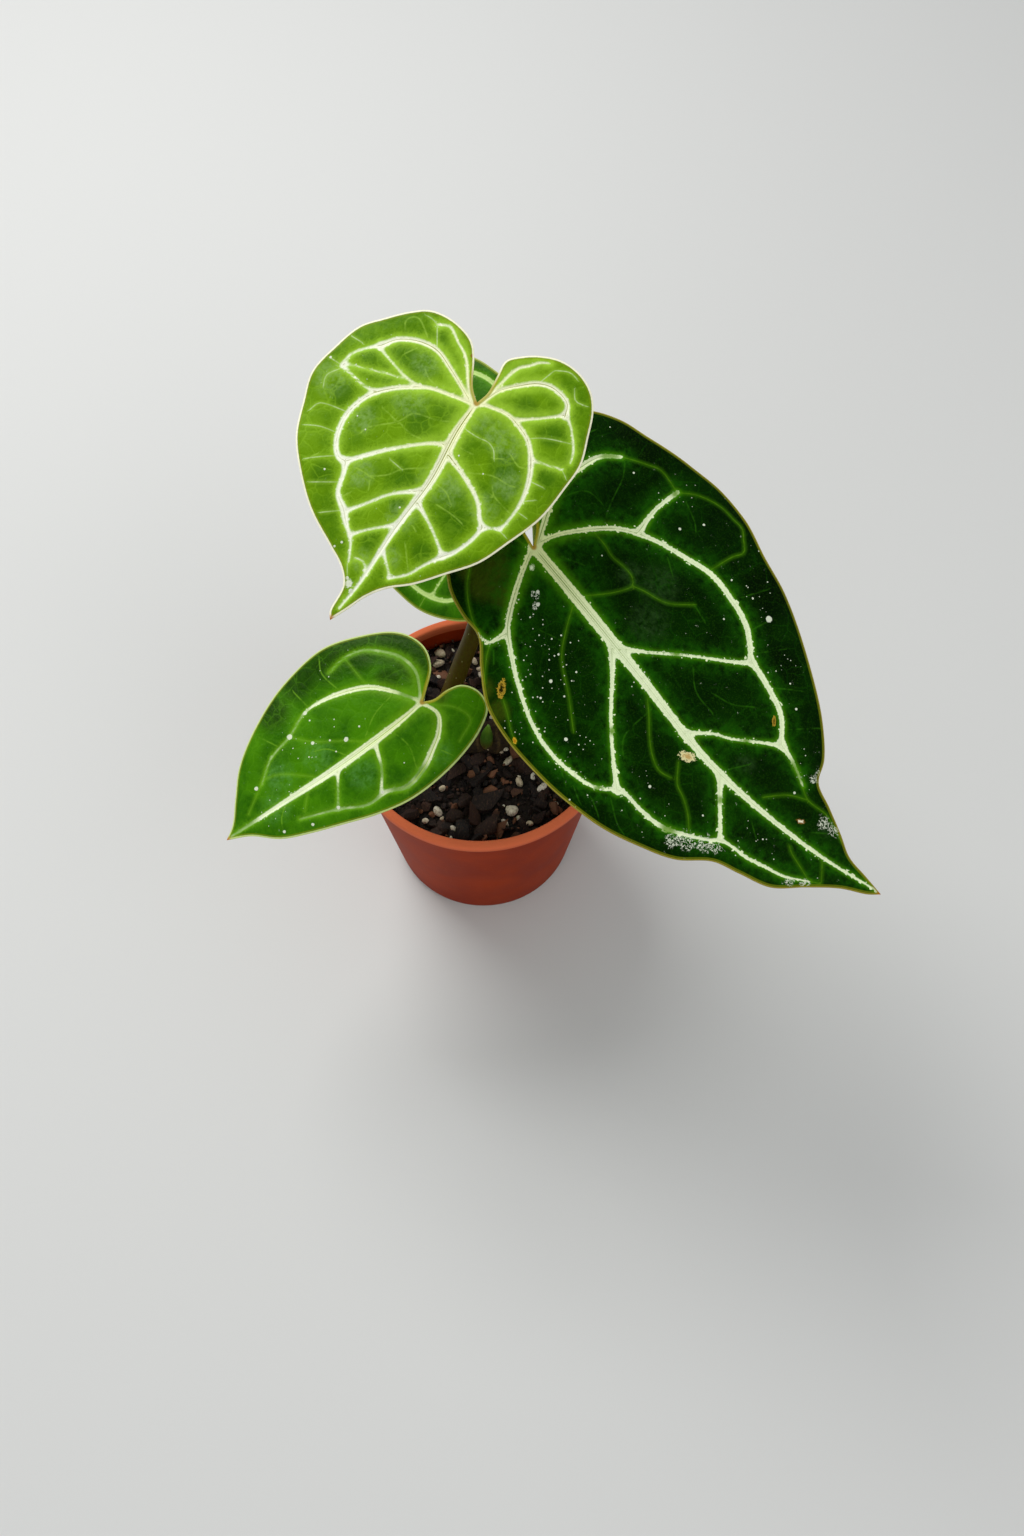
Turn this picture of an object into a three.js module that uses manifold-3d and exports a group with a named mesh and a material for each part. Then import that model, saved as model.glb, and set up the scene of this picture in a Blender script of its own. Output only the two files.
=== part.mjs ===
// Potted crystal anthurium: four heart-shaped leaves on separate stalks, a short creeping
// stem with one new shoot, growing in bark mix in a round plastic nursery pot.
// Millimetres, +Z up. The origin is the centre of the pot's flat underside.

import * as THREE from 'three';
import { mergeVertices } from 'three/addons/utils/BufferGeometryUtils.js';
import Module from 'manifold-3d';

const wasm = await Module();
wasm.setup();

// Driving dimensions

const GAP = 0.35;
const POT_RADIUS = 50;
const POT_HEIGHT = 90;
const POT_BASE_RADIUS = 36.9;
const POT_WALL = 1.5;
const POT_FLOOR = 1.8;
const LIP_HEIGHT = 3.8;
const LIP_OVERHANG = 2;
const LIP_WIDTH = 3.4;
const POT_SIDES = 48;
const DRAIN_HOLES = 6;
const DRAIN_RADIUS = 4;
const DRAIN_RING = 24;

const SOIL_LEVEL = 80;
const SOIL_RINGS = 8;
const LUMPS = 26;

const STEM_LENGTH = 48;
const STEM_RADIUS = 6.6;
const STEM_HEIGHT = 79.5;
const STEM_NODES = 6;

const BLADE_THICKNESS = 0.8;
const KEEL_HALF_WIDTH = 2.4;
const RIB_SIDES = 4;
const STALK_SIDES = 8;

// Leaves. Each blade has its own flat frame in millimetres: the first number runs from the
// stalk joint to the tip, the second runs across. Its margin is two smooth curves from the
// joint, round the lobe, to the tip; back and side are the places of the lobe's rearmost
// point and of the point level with the joint in that list. core is the middle of the lobe.

const LARGE = {
  name: 'large',
  at: [18.4, -4.5, 213],
  tipward: [0.708, -0.63, -0.319],
  face: [0.152, -0.305, 0.94],
  length: 150,
  width: 56,
  arch: 5,
  rear: 3,
  cross: [5, 4],
  wave: 1.5,
  waves: 6,
  keel: 1.7,
  midrib: [[2.5, 0], [22, -2], [50, -5], [82, -8.5], [105, -7.5], [128, -4], [150, 1.5]],
  steps: [6, 15, 4],
  halves: [
    {
      side: 1,
      core: [-10, 27],
      back: 5,
      level: 9,
      margin: [
        [0, 0], [-4, 5.5], [-10.5, 8.5], [-17.5, 12.5], [-23, 21], [-24.5, 31.5],
        [-22.5, 40.5], [-18, 46.5], [-10, 51], [0.5, 53], [15.5, 56.5], [28, 59],
        [39.5, 57.5], [52.5, 52], [64.5, 48.5], [75, 44], [87.5, 36.5], [100.5, 27],
        [109, 18.5], [112.5, 12], [120, 9], [128.5, 5.5], [135, 2.5], [142.5, 2], [150, 1.5],
      ],
    },
    {
      side: -1,
      core: [-9, -12],
      back: 4,
      level: 7,
      margin: [
        [0, 0], [-4, 1.5], [-11, 2.5], [-18.5, 0.5], [-21, -8], [-18, -18], [-9.5, -27],
        [0, -30.5], [7.5, -31.5], [15, -38], [24, -44.5], [33.5, -47], [47, -48], [60, -48],
        [74, -46], [86.5, -41.5], [97, -36.5], [105.5, -29], [113.5, -26], [123.5, -22],
        [131.5, -14], [139.5, -6.5], [147, -1.5], [150, 1.5],
      ],
    },
  ],
  veins: [
    [[3, 2], [8, 17], [20, 28], [35, 33], [49, 34.5], [63, 31], [71, 25], [85, 21], [96, 13],
      [109, 8], [119, 6], [130, 3.5]],
    [[2.5, 1], [-7, 16], [-8, 23], [-6, 36], [1, 43], [10, 48], [18.5, 46.5]],
    [[20, 28], [18.5, 46.5]],
    [[39, -4], [52, 7], [67, 19], [72, 24]],
    [[73, -8], [83, 1.5], [97, 12]],
    [[3, -2], [4.5, -11], [12.5, -24], [22, -31], [36, -38], [50, -41], [64, -39], [71, -34],
      [83, -33], [95, -28], [108, -21.5], [121, -18], [133, -10.5]],
    [[39, -5], [49, -16.5], [59, -26], [70, -35]],
    [[89, -9], [97, -18], [102, -22.5]],
    [[2.5, -1], [-8, -7], [-11, -14], [-2, -26], [4.5, -30], [12, -25]],
  ],
};

const YOUNG = {
  name: 'young',
  at: [1.8, 23.7, 245.2],
  tipward: [-0.562, -0.755, -0.338],
  face: [-0.03, -0.39, 0.92],
  length: 77,
  width: 44,
  arch: 3,
  rear: 3,
  cross: [2.5, 2.5],
  wave: 0.8,
  waves: 5,
  keel: 1.3,
  midrib: [[2, 0], [10, 0], [26.5, 1.5], [43.5, 1], [63.5, 1], [76.5, 0]],
  steps: [6, 13, 4],
  halves: [
    {
      side: 1,
      core: [-11, 16],
      back: 6,
      level: 11,
      margin: [
        [0, 0], [-4, 1], [-9.5, 0.5], [-15, 0], [-18.5, 3], [-21.5, 7], [-24, 13],
        [-24, 19.5], [-21.5, 25.5], [-17, 29.5], [-10, 32.5], [-1.5, 35.5], [7, 35.5],
        [17.5, 34.5], [28.5, 31], [38.5, 27], [47, 20.5], [54.5, 14.5], [60, 8.5], [65, 5],
        [71, 2.5], [76.5, 0],
      ],
    },
    {
      side: -1,
      core: [-5, -21],
      back: 4,
      level: 8,
      margin: [
        [0, 0], [-3, -3.5], [-11, -8.5], [-14.5, -12], [-16.5, -19.5], [-15.5, -27],
        [-12, -32], [-6.5, -37.5], [-0.5, -42.5], [9.5, -45], [19, -46.5], [27, -44],
        [37, -39.5], [45.5, -32], [53, -23], [58.5, -12.5], [62, -6], [66, -2.5],
        [74.5, -1.5], [76.5, 0],
      ],
    },
  ],
  veins: [
    [[2.5, 1], [-6, 3.5], [-14.5, 11.5], [-16, 16], [-14.5, 22], [-11.5, 24]],
    [[2.5, 1], [-2, 9.5], [1, 18.5], [9.5, 25], [24, 27], [34, 22], [43, 17], [53, 11.5],
      [57, 7.5]],
    [[17.5, 2], [24, 16.5], [29.5, 22.5]],
    [[34, 2], [41.5, 15], [43, 17]],
    [[2.5, -1], [-4, -12], [-6.5, -19], [-6, -24.5], [1, -33.5], [8.5, -39.5], [12.5, -39.5]],
    [[2.5, -1], [4, -14], [10.5, -23.5], [21.5, -30], [32.5, -28], [38.5, -21], [47.5, -15],
      [54, -8], [63, -3]],
    [[15, 0], [23.5, -11.5], [35.5, -23]],
    [[31, 0.5], [43.5, -11], [48, -14.5]],
  ],
};

const LOW = {
  name: 'low',
  at: [-17.7, -23.8, 151.7],
  tipward: [-0.816, -0.465, -0.343],
  face: [-0.22, -0.3, 0.928],
  length: 83,
  width: 36,
  arch: 4,
  rear: 3,
  cross: [3, 9],
  wave: 1,
  waves: 4,
  keel: 1.4,
  midrib: [[2, 0], [10.5, 1], [34, 1.5], [60, 0], [83, -1.5]],
  steps: [5, 13, 4],
  halves: [
    {
      side: 1,
      core: [-7, 11],
      back: 4,
      level: 7,
      margin: [
        [0, 0], [-3.5, 1.5], [-9, 1.5], [-14, 3], [-17.5, 8], [-17, 14], [-11, 18.5],
        [-1.5, 22], [10, 24], [22.5, 24], [35, 21.5], [45.5, 18], [56.5, 14], [66.5, 9.5],
        [75, 2.5], [83, -1.5],
      ],
    },
    {
      side: -1,
      core: [-3, -15],
      back: 3,
      level: 6,
      margin: [
        [0, 0], [-3.5, -3], [-8.5, -8], [-10.5, -14.5], [-9, -21], [-4, -27.5], [7, -33.5],
        [21, -37.5], [37.5, -36], [53.5, -28.5], [66, -20], [73, -11.5], [78.5, -4.5],
        [83, -1.5],
      ],
    },
  ],
  veins: [
    [[2.5, 1], [-2, 6.5], [6, 15], [20.5, 20], [34.5, 17.5], [44, 13], [57, 8]],
    [[2.5, -1], [6.5, -9], [13, -15.5], [26.5, -21], [36, -22], [45, -18], [62, -10],
      [71.5, -4]],
    [[2.5, -1], [-3.5, -10], [2, -23], [14.5, -29.5], [27, -28]],
    [[24, 1], [38.5, -11], [45, -18]],
    [[37, 1.5], [44, 13]],
  ],
};

const BACK = {
  name: 'back',
  at: [5.3, 41.7, 181.4],
  tipward: [-0.929, 0.28, -0.242],
  face: [-0.33, -0.33, 0.885],
  length: 72,
  width: 46,
  arch: 3,
  rear: 2,
  cross: [3, 3],
  wave: 1,
  waves: 4,
  keel: 1.4,
  midrib: [[2, 0], [20, 0.5], [45, 1], [72, 0]],
  steps: [5, 13, 4],
  halves: [
    {
      side: 1,
      core: [-5, 22],
      back: 4,
      level: 7,
      margin: [
        [0, 0], [-5, 3.5], [-11, 9], [-15.5, 17], [-16, 27], [-12, 36], [-7, 42], [2, 45.5],
        [11, 45.5], [21, 43], [30, 37.5], [41, 29], [51, 19.5], [59, 10.5], [65, 4.5],
        [72, 0],
      ],
    },
    {
      side: -1,
      core: [-4, -19],
      back: 4,
      level: 7,
      margin: [
        [0, 0], [-5, -3.5], [-11, -9], [-15, -17], [-14, -25], [-9, -31], [-4, -35],
        [2, -38], [14, -44.5], [26, -47.5], [37, -43], [47, -34], [55, -22], [62, -10.5],
        [67, -4], [72, 0],
      ],
    },
  ],
  veins: [
    [[2.5, 1], [-3, 14], [-1, 30], [8, 39], [18, 38], [30, 31], [42, 21], [53, 11]],
    [[2.5, -1], [-3, -12], [-1, -26], [7, -36.5], [20, -40], [34, -34], [46, -23], [56, -11]],
    [[22, 0.5], [33, 16], [38, 25]],
    [[24, 0.5], [35, -16], [41, -28]],
  ],
};

const LEAVES = [LARGE, YOUNG, LOW, BACK];

// Leaf stalks: the points that each passes through, from its socket in the stem, and its
// radii at the foot, at mid height and at the blade. neck is the length of the stalk's end
// that stands square to the blade.

const STALKS = {
  large: {
    path: [[11, 1, 78], [11, 3, 120], [13, 3.5, 165]],
    radii: [3.2, 2.4, 2.5],
    neck: 9,
  },
  young: {
    path: [[19, 2.5, 78], [21, 17, 130], [19.5, 36, 184], [11.5, 35.5, 219]],
    radii: [2.3, 1.8, 2],
    neck: 7,
  },
  low: {
    path: [[-11, -3, 78], [-16, -12, 110]],
    radii: [2.4, 1.9, 2],
    neck: 8,
  },
  back: {
    path: [[-19, -0.5, 78], [-7.3, 12.3, 112], [-0.4, 20, 133.5], [3.6, 31, 157]],
    radii: [3.8, 3.1, 2.4],
    neck: 3,
  },
};

const SHOOT = { path: [[2, -2, 78], [2.6, -4.5, 92], [3.4, -8, 106]], radii: [2.8, 2.2, 0.5] };

// Materials

const plastic = new THREE.MeshStandardMaterial({ color: 0xa8471f, roughness: 0.5, metalness: 0 });
const bark = new THREE.MeshStandardMaterial({ color: 0x2e1d14, roughness: 0.95, metalness: 0 });
const wood = new THREE.MeshStandardMaterial({ color: 0x4a3220, roughness: 0.9, metalness: 0 });
const stalkGreen = new THREE.MeshStandardMaterial({ color: 0x6f6420, roughness: 0.5, metalness: 0 });
const paleGreen = new THREE.MeshStandardMaterial({ color: 0x7fa83a, roughness: 0.45, metalness: 0 });
const velvetGreen = new THREE.MeshStandardMaterial({ color: 0x163a14, roughness: 0.55, metalness: 0 });
const limeGreen = new THREE.MeshStandardMaterial({ color: 0x8cb52a, roughness: 0.4, metalness: 0 });
const midGreen = new THREE.MeshStandardMaterial({ color: 0x3f7d22, roughness: 0.4, metalness: 0 });

// Geometry helpers

function randomSource(seed) {
  let state = seed;
  return () => {
    state = (state * 1664525 + 1013904223) % 4294967296;
    return state / 4294967296;
  };
}

function toSolid(geometry) {
  let bare = geometry.clone();
  bare.deleteAttribute('normal');
  bare.deleteAttribute('uv');
  bare = mergeVertices(bare, 1e-4);
  const index = bare.index.array;
  const faces = [];
  for (let i = 0; i < index.length; i += 3) {
    const [a, b, c] = [index[i], index[i + 1], index[i + 2]];
    if (a !== b && b !== c && c !== a) {
      faces.push(a, b, c);
    }
  }
  const mesh = new wasm.Mesh({
    numProp: 3,
    vertProperties: new Float32Array(bare.attributes.position.array),
    triVerts: new Uint32Array(faces),
  });
  return new wasm.Manifold(mesh);
}

function toGeometry(solid) {
  const mesh = solid.getMesh();
  const geometry = new THREE.BufferGeometry();
  const position = new THREE.BufferAttribute(new Float32Array(mesh.vertProperties), 3);
  geometry.setAttribute('position', position);
  geometry.setIndex(Array.from(mesh.triVerts));
  geometry.computeVertexNormals();
  return geometry;
}

function turned(points, sides) {
  const profile = points.map(([radius, height]) => new THREE.Vector2(radius, height));
  return new THREE.LatheGeometry(profile, sides).rotateX(Math.PI / 2);
}

function rodAlong(curve, steps, sides, radiusAt) {
  const ring = [];
  for (let i = 0; i < sides; i += 1) {
    const angle = (2 * Math.PI * i) / sides;
    ring.push(new THREE.Vector2(Math.cos(angle), Math.sin(angle)));
  }
  const options = { steps, bevelEnabled: false, extrudePath: curve };
  const geometry = new THREE.ExtrudeGeometry(new THREE.Shape(ring), options);
  const stations = curve.getSpacedPoints(steps);
  const position = geometry.attributes.position;
  const point = new THREE.Vector3();
  for (let i = 0; i < position.count; i += 1) {
    point.fromBufferAttribute(position, i);
    const gaps = stations.map((station) => Math.abs(station.distanceTo(point) - 1));
    const nearest = gaps.indexOf(Math.min(...gaps));
    const station = stations[nearest];
    point.sub(station).multiplyScalar(radiusAt(nearest / steps)).add(station);
    position.setXYZ(i, point.x, point.y, point.z);
  }
  return geometry;
}

function threeRadii([foot, middle, top]) {
  return (t) => (t < 0.5 ? foot + (middle - foot) * t * 2 : middle + (top - middle) * (t * 2 - 1));
}

// Pot: a tapered wall with a rolled lip and a flat floor with drain holes

function outerRadius(height) {
  const wallTop = POT_HEIGHT - LIP_HEIGHT;
  const slope = (POT_RADIUS - LIP_OVERHANG - POT_BASE_RADIUS) / wallTop;
  return POT_BASE_RADIUS + slope * height;
}

function makePot() {
  const lipBottom = POT_HEIGHT - LIP_HEIGHT;
  const inner = POT_RADIUS - LIP_WIDTH;
  const profile = [
    [0, 0],
    [POT_BASE_RADIUS - 1.4, 0],
    [POT_BASE_RADIUS - 0.3, 0.5],
    [outerRadius(1.6), 1.6],
    [outerRadius(lipBottom), lipBottom],
    [POT_RADIUS - 0.4, lipBottom + 0.1],
    [POT_RADIUS, lipBottom + 0.7],
    [POT_RADIUS, POT_HEIGHT - 1.1],
    [POT_RADIUS - 0.4, POT_HEIGHT - 0.3],
    [POT_RADIUS - 1.2, POT_HEIGHT],
    [inner + 0.9, POT_HEIGHT],
    [inner + 0.2, POT_HEIGHT - 0.3],
    [outerRadius(lipBottom) - POT_WALL, lipBottom],
    [outerRadius(POT_FLOOR) - POT_WALL, POT_FLOOR],
    [0, POT_FLOOR],
  ];
  let pot = toSolid(turned(profile, POT_SIDES));
  for (let i = 0; i < DRAIN_HOLES; i += 1) {
    const angle = (2 * Math.PI * (i + 0.5)) / DRAIN_HOLES;
    const drill = new THREE.CylinderGeometry(DRAIN_RADIUS, DRAIN_RADIUS, 3 * POT_FLOOR, 16);
    drill.rotateX(Math.PI / 2);
    drill.translate(DRAIN_RING * Math.cos(angle), DRAIN_RING * Math.sin(angle), POT_FLOOR / 2);
    pot = pot.subtract(toSolid(drill));
  }
  return toGeometry(pot);
}

// Stem: a short woody creeping stem with a swelling at every old leaf scar

function stemShape(extra) {
  const points = [[0, -STEM_LENGTH / 2 - extra]];
  const stations = 2 * STEM_NODES;
  for (let i = 0; i <= stations; i += 1) {
    const along = i / stations;
    const swell = i % 2 === 0 ? 0.8 : 0;
    const taper = Math.sqrt(Math.max(0, 1 - (2 * along - 1) ** 8)) * 0.35 + 0.65;
    const length = (along - 0.5) * (STEM_LENGTH - 4);
    points.push([(STEM_RADIUS + swell) * taper + extra, length]);
  }
  points.push([0, STEM_LENGTH / 2 + extra]);
  const stem = turned(points, 12);
  stem.rotateY(Math.PI / 2);
  stem.rotateZ(0.06);
  stem.translate(-1, 0.5, STEM_HEIGHT);
  return toSolid(stem);
}

function curveThrough(points) {
  const knots = points.map((point) => new THREE.Vector3(...point));
  return new THREE.CatmullRomCurve3(knots, false, 'centripetal');
}

function socket(growth) {
  const [foot, next] = growth.path.map((point) => new THREE.Vector3(...point));
  const direction = next.clone().sub(foot).normalize();
  const curve = new THREE.LineCurve3(
    foot.clone().addScaledVector(direction, -GAP),
    foot.clone().addScaledVector(direction, 25),
  );
  return toSolid(rodAlong(curve, 1, 12, () => growth.radii[0] + GAP));
}

function makeStem() {
  let stem = stemShape(0);
  for (const growth of [...Object.values(STALKS), SHOOT]) {
    stem = stem.subtract(socket(growth));
  }
  return toGeometry(stem);
}

// Potting mix: a plug that fills the pot, with a rough top and half-sunk lumps

function soilHeight(x, y) {
  const broad = Math.sin(x * 0.13 + 1) * Math.cos(y * 0.11 - 0.6);
  const fine = Math.sin(x * 0.61 + y * 0.23) * Math.sin(y * 0.57 - x * 0.19 + 2);
  return SOIL_LEVEL + 1.1 * broad + 0.7 * fine;
}

function makeMix() {
  const rim = outerRadius(SOIL_LEVEL) - POT_WALL - GAP;
  const foot = outerRadius(POT_FLOOR + GAP) - POT_WALL - GAP;
  const points = [[0, POT_FLOOR + GAP], [foot, POT_FLOOR + GAP]];
  for (let i = 0; i < SOIL_RINGS; i += 1) {
    points.push([rim * (1 - (i / SOIL_RINGS) ** 1.1), SOIL_LEVEL]);
  }
  points.push([0, SOIL_LEVEL]);
  const plug = turned(points, POT_SIDES);
  const position = plug.attributes.position;
  for (let i = 0; i < position.count; i += 1) {
    const [x, y, z] = [position.getX(i), position.getY(i), position.getZ(i)];
    if (z > SOIL_LEVEL / 2) {
      const inside = Math.min(1, Math.max(0, (rim - Math.hypot(x, y)) / 3));
      position.setZ(i, SOIL_LEVEL + inside * (soilHeight(x, y) - SOIL_LEVEL));
    }
  }
  let mix = toSolid(plug);
  const random = randomSource(11);
  for (let i = 0; i < LUMPS; i += 1) {
    const radius = (rim - 5) * Math.sqrt(random());
    const angle = 2 * Math.PI * random();
    const size = 1.5 + 1.9 * random();
    const lump = new THREE.IcosahedronGeometry(size, 0);
    lump.scale(1 + 0.5 * random(), 1, 0.7 + 0.3 * random());
    lump.rotateX(random());
    lump.rotateZ(2 * Math.PI * random());
    const [x, y] = [radius * Math.cos(angle), radius * Math.sin(angle)];
    lump.translate(x, y, soilHeight(x, y) + 0.15 * size);
    mix = mix.add(toSolid(lump));
  }
  mix = mix.subtract(stemShape(GAP));
  for (const growth of [...Object.values(STALKS), SHOOT]) {
    mix = mix.subtract(socket(growth));
  }
  return toGeometry(mix);
}

// Blades

function frameOf(leaf) {
  const normal = new THREE.Vector3(...leaf.face).normalize();
  const tipward = new THREE.Vector3(...leaf.tipward);
  tipward.addScaledVector(normal, -tipward.dot(normal)).normalize();
  const across = new THREE.Vector3().crossVectors(normal, tipward);
  return { origin: new THREE.Vector3(...leaf.at), tipward, across, normal };
}

function riseAt(leaf, u, v) {
  const along = u / leaf.length;
  const out = v / leaf.width;
  const droop = along > 0 ? leaf.arch * along ** 2 : leaf.rear * along ** 2;
  const fold = (v < 0 ? leaf.cross[0] : leaf.cross[1]) * out ** 2;
  const phase = v < 0 ? -0.8 : 0.8;
  const ripple = leaf.wave * out ** 2 * Math.sin(Math.PI * leaf.waves * along + phase);
  return ripple - droop - fold;
}

function onBlade(leaf, u, v, offset) {
  const frame = frameOf(leaf);
  return frame.origin
    .clone()
    .addScaledVector(frame.tipward, u)
    .addScaledVector(frame.across, v)
    .addScaledVector(frame.normal, riseAt(leaf, u, v) + offset);
}

function planeCurve(points) {
  return curveThrough(points.map(([u, v]) => [u, v, 0]));
}

function evenly(curve, from, to, count) {
  const samples = 200;
  const points = [];
  const reach = [0];
  for (let i = 0; i <= samples; i += 1) {
    points.push(curve.getPoint(from + ((to - from) * i) / samples));
    if (i > 0) {
      reach.push(reach[i - 1] + points[i].distanceTo(points[i - 1]));
    }
  }
  const spaced = [];
  for (let i = 0; i <= count; i += 1) {
    const goal = (reach[samples] * i) / count;
    const place = reach.findIndex((length) => length >= goal - 1e-9);
    spaced.push(points[place]);
  }
  return spaced;
}

// Rows that run from the midrib, or from the middle line of a lobe, out to the margin
function rowsOf(leaf, half) {
  const [lobeSteps, sideSteps] = leaf.steps;
  const margin = planeCurve(half.margin);
  const last = half.margin.length - 1;
  const back = half.back / last;
  const level = half.level / last;
  const outer = [
    ...evenly(margin, 0, back, lobeSteps),
    ...evenly(margin, back, level, lobeSteps).slice(1),
    ...evenly(margin, level, 1, sideSteps).slice(1),
  ];
  const joint = new THREE.Vector3(...leaf.midrib[0], 0);
  const core = new THREE.Vector3(...half.core, 0);
  const inner = [];
  for (let i = 0; i <= 2 * lobeSteps; i += 1) {
    const out = 1 - Math.abs(i - lobeSteps) / lobeSteps;
    inner.push(joint.clone().lerp(core, out));
  }
  inner.push(...evenly(planeCurve(leaf.midrib), 0, 1, sideSteps).slice(1));
  return outer.map((edge, i) => ({ edge, spine: inner[i], inLobe: i < 2 * lobeSteps, row: i }));
}

function keelDepth(leaf, spine) {
  const [u0, v0] = leaf.midrib[0];
  if (spine.x >= u0) {
    return leaf.keel * (1 - 0.85 * (spine.x / leaf.length));
  }
  const half = spine.y > 0 ? leaf.halves[0] : leaf.halves[1];
  const reach = Math.hypot(half.core[0] - u0, half.core[1] - v0);
  return leaf.keel * Math.max(0, 1 - Math.hypot(spine.x - u0, spine.y - v0) / reach);
}

function makeSheet(leaf) {
  const across = leaf.steps[2];
  const points = [];
  const places = new Map();
  const faces = [];
  const vertex = (u, v, keel) => {
    const key = `${Math.round(u * 1e4)} ${Math.round(v * 1e4)}`;
    if (!places.has(key)) {
      places.set(key, points.length);
      points.push({ u, v, keel });
    }
    return places.get(key);
  };
  for (const half of leaf.halves) {
    const grid = rowsOf(leaf, half).map(({ edge, spine }) => {
      const reach = Math.max(edge.distanceTo(spine), 1e-9);
      const first = Math.min(KEEL_HALF_WIDTH / reach, 1 / across);
      const row = [];
      for (let j = 0; j <= across; j += 1) {
        const out = j === 0 ? 0 : first + ((1 - first) * (j - 1)) / (across - 1);
        const place = spine.clone().lerp(edge, out);
        row.push(vertex(place.x, place.y, j === 0 ? keelDepth(leaf, spine) : 0));
      }
      return row;
    });
    for (let i = 0; i + 1 < grid.length; i += 1) {
      for (let j = 0; j < across; j += 1) {
        const [a, b] = [grid[i][j], grid[i][j + 1]];
        const [c, d] = [grid[i + 1][j + 1], grid[i + 1][j]];
        for (const face of [[a, b, c], [a, c, d]]) {
          if (new Set(face).size === 3) {
            faces.push(half.side > 0 ? face.reverse() : face);
          }
        }
      }
    }
  }
  const count = points.length;
  const position = [];
  for (const lower of [false, true]) {
    for (const { u, v, keel } of points) {
      const offset = lower ? -BLADE_THICKNESS / 2 - keel : BLADE_THICKNESS / 2;
      position.push(...onBlade(leaf, u, v, offset).toArray());
    }
  }
  const index = [];
  const edges = new Map();
  for (const [a, b, c] of faces) {
    index.push(a, b, c, count + c, count + b, count + a);
    for (const [from, to] of [[a, b], [b, c], [c, a]]) {
      edges.set(`${from} ${to}`, [from, to]);
    }
  }
  for (const [from, to] of edges.values()) {
    if (!edges.has(`${to} ${from}`)) {
      index.push(to, from, count + from, to, count + from, count + to);
    }
  }
  const geometry = new THREE.BufferGeometry();
  geometry.setAttribute('position', new THREE.Float32BufferAttribute(position, 3));
  geometry.setIndex(index);
  return geometry;
}

function makeRib(leaf, vein, scale) {
  const plan = planeCurve(vein);
  const steps = Math.max(3, Math.round(plan.getLength() / 11));
  const knots = plan.getSpacedPoints(2 * steps).map(({ x, y }) => onBlade(leaf, x, y, -0.45).toArray());
  return rodAlong(curveThrough(knots), steps, RIB_SIDES, (t) => scale * (0.95 - 0.35 * t));
}

function makeBlade(leaf) {
  let blade = toSolid(makeSheet(leaf));
  for (const vein of leaf.veins) {
    blade = blade.add(toSolid(makeRib(leaf, vein, leaf.keel / 1.5)));
  }
  return toGeometry(blade);
}

// Stalks: each rises from its socket and meets the underside of its blade at the joint

function makeStalk(leaf) {
  const growth = STALKS[leaf.name];
  const clearance = BLADE_THICKNESS / 2 + leaf.keel + GAP;
  const top = onBlade(leaf, leaf.midrib[0][0], 0, -clearance);
  const below = top.clone().addScaledVector(frameOf(leaf).normal, -growth.neck);
  const curve = curveThrough([...growth.path, below.toArray(), top.toArray()]);
  const steps = Math.round(curve.getLength() / 8);
  return rodAlong(curve, steps, STALK_SIDES, threeRadii(growth.radii));
}

function makeShoot() {
  return rodAlong(curveThrough(SHOOT.path), 6, STALK_SIDES, threeRadii(SHOOT.radii));
}

// Assembly

const group = new THREE.Group();

function place(name, geometry, material) {
  const mesh = new THREE.Mesh(geometry, material);
  mesh.name = name;
  group.add(mesh);
}

place('pot', makePot(), plastic);
place('potting_mix', makeMix(), bark);
place('stem', makeStem(), wood);
place('new_shoot', makeShoot(), paleGreen);

const bladeMaterials = { large: velvetGreen, young: limeGreen, low: midGreen, back: midGreen };
for (const leaf of LEAVES) {
  place(`stalk_${leaf.name}`, makeStalk(leaf), stalkGreen);
  place(`blade_${leaf.name}`, makeBlade(leaf), bladeMaterials[leaf.name]);
}

export default group;
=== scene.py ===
"""Potted crystal anthurium: four heart-shaped leaves with pale veins, their stalks, a short
creeping stem with one new shoot, and bark mix in a round plastic nursery pot.
Sizes are millimetres, in each leaf's own flat frame or in the plant's frame."""

import contextlib
import itertools
import math
import random

import bpy
import numpy as np
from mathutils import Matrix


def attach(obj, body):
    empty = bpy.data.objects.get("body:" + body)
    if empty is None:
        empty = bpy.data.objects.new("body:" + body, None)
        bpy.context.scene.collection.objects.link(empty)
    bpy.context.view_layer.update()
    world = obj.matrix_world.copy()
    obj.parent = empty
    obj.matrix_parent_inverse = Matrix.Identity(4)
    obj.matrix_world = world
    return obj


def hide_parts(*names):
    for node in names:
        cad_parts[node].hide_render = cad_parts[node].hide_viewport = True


MM = 0.001
MERGE_GAP = 0.004 * MM
SMOOTH_ANGLE = math.radians(50)

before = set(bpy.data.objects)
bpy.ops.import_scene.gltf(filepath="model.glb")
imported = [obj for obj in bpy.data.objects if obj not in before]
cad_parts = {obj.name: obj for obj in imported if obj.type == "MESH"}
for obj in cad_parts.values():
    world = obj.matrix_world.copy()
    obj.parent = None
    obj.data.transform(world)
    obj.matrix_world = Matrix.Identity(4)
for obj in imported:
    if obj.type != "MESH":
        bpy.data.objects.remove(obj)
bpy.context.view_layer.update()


# Selecting and editing

def pick(*pieces):
    """Leaves only these pieces selected, with the first one active."""
    bpy.ops.object.select_all(action="DESELECT")
    for piece in pieces:
        piece.select_set(True)
    bpy.context.view_layer.objects.active = pieces[0]


@contextlib.contextmanager
def editing(piece):
    """Edit mode on one piece with all of it selected."""
    pick(piece)
    bpy.ops.object.mode_set(mode="EDIT")
    bpy.ops.mesh.select_all(action="SELECT")
    yield
    bpy.ops.object.mode_set(mode="OBJECT")


# Camera, floor and soft light

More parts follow.
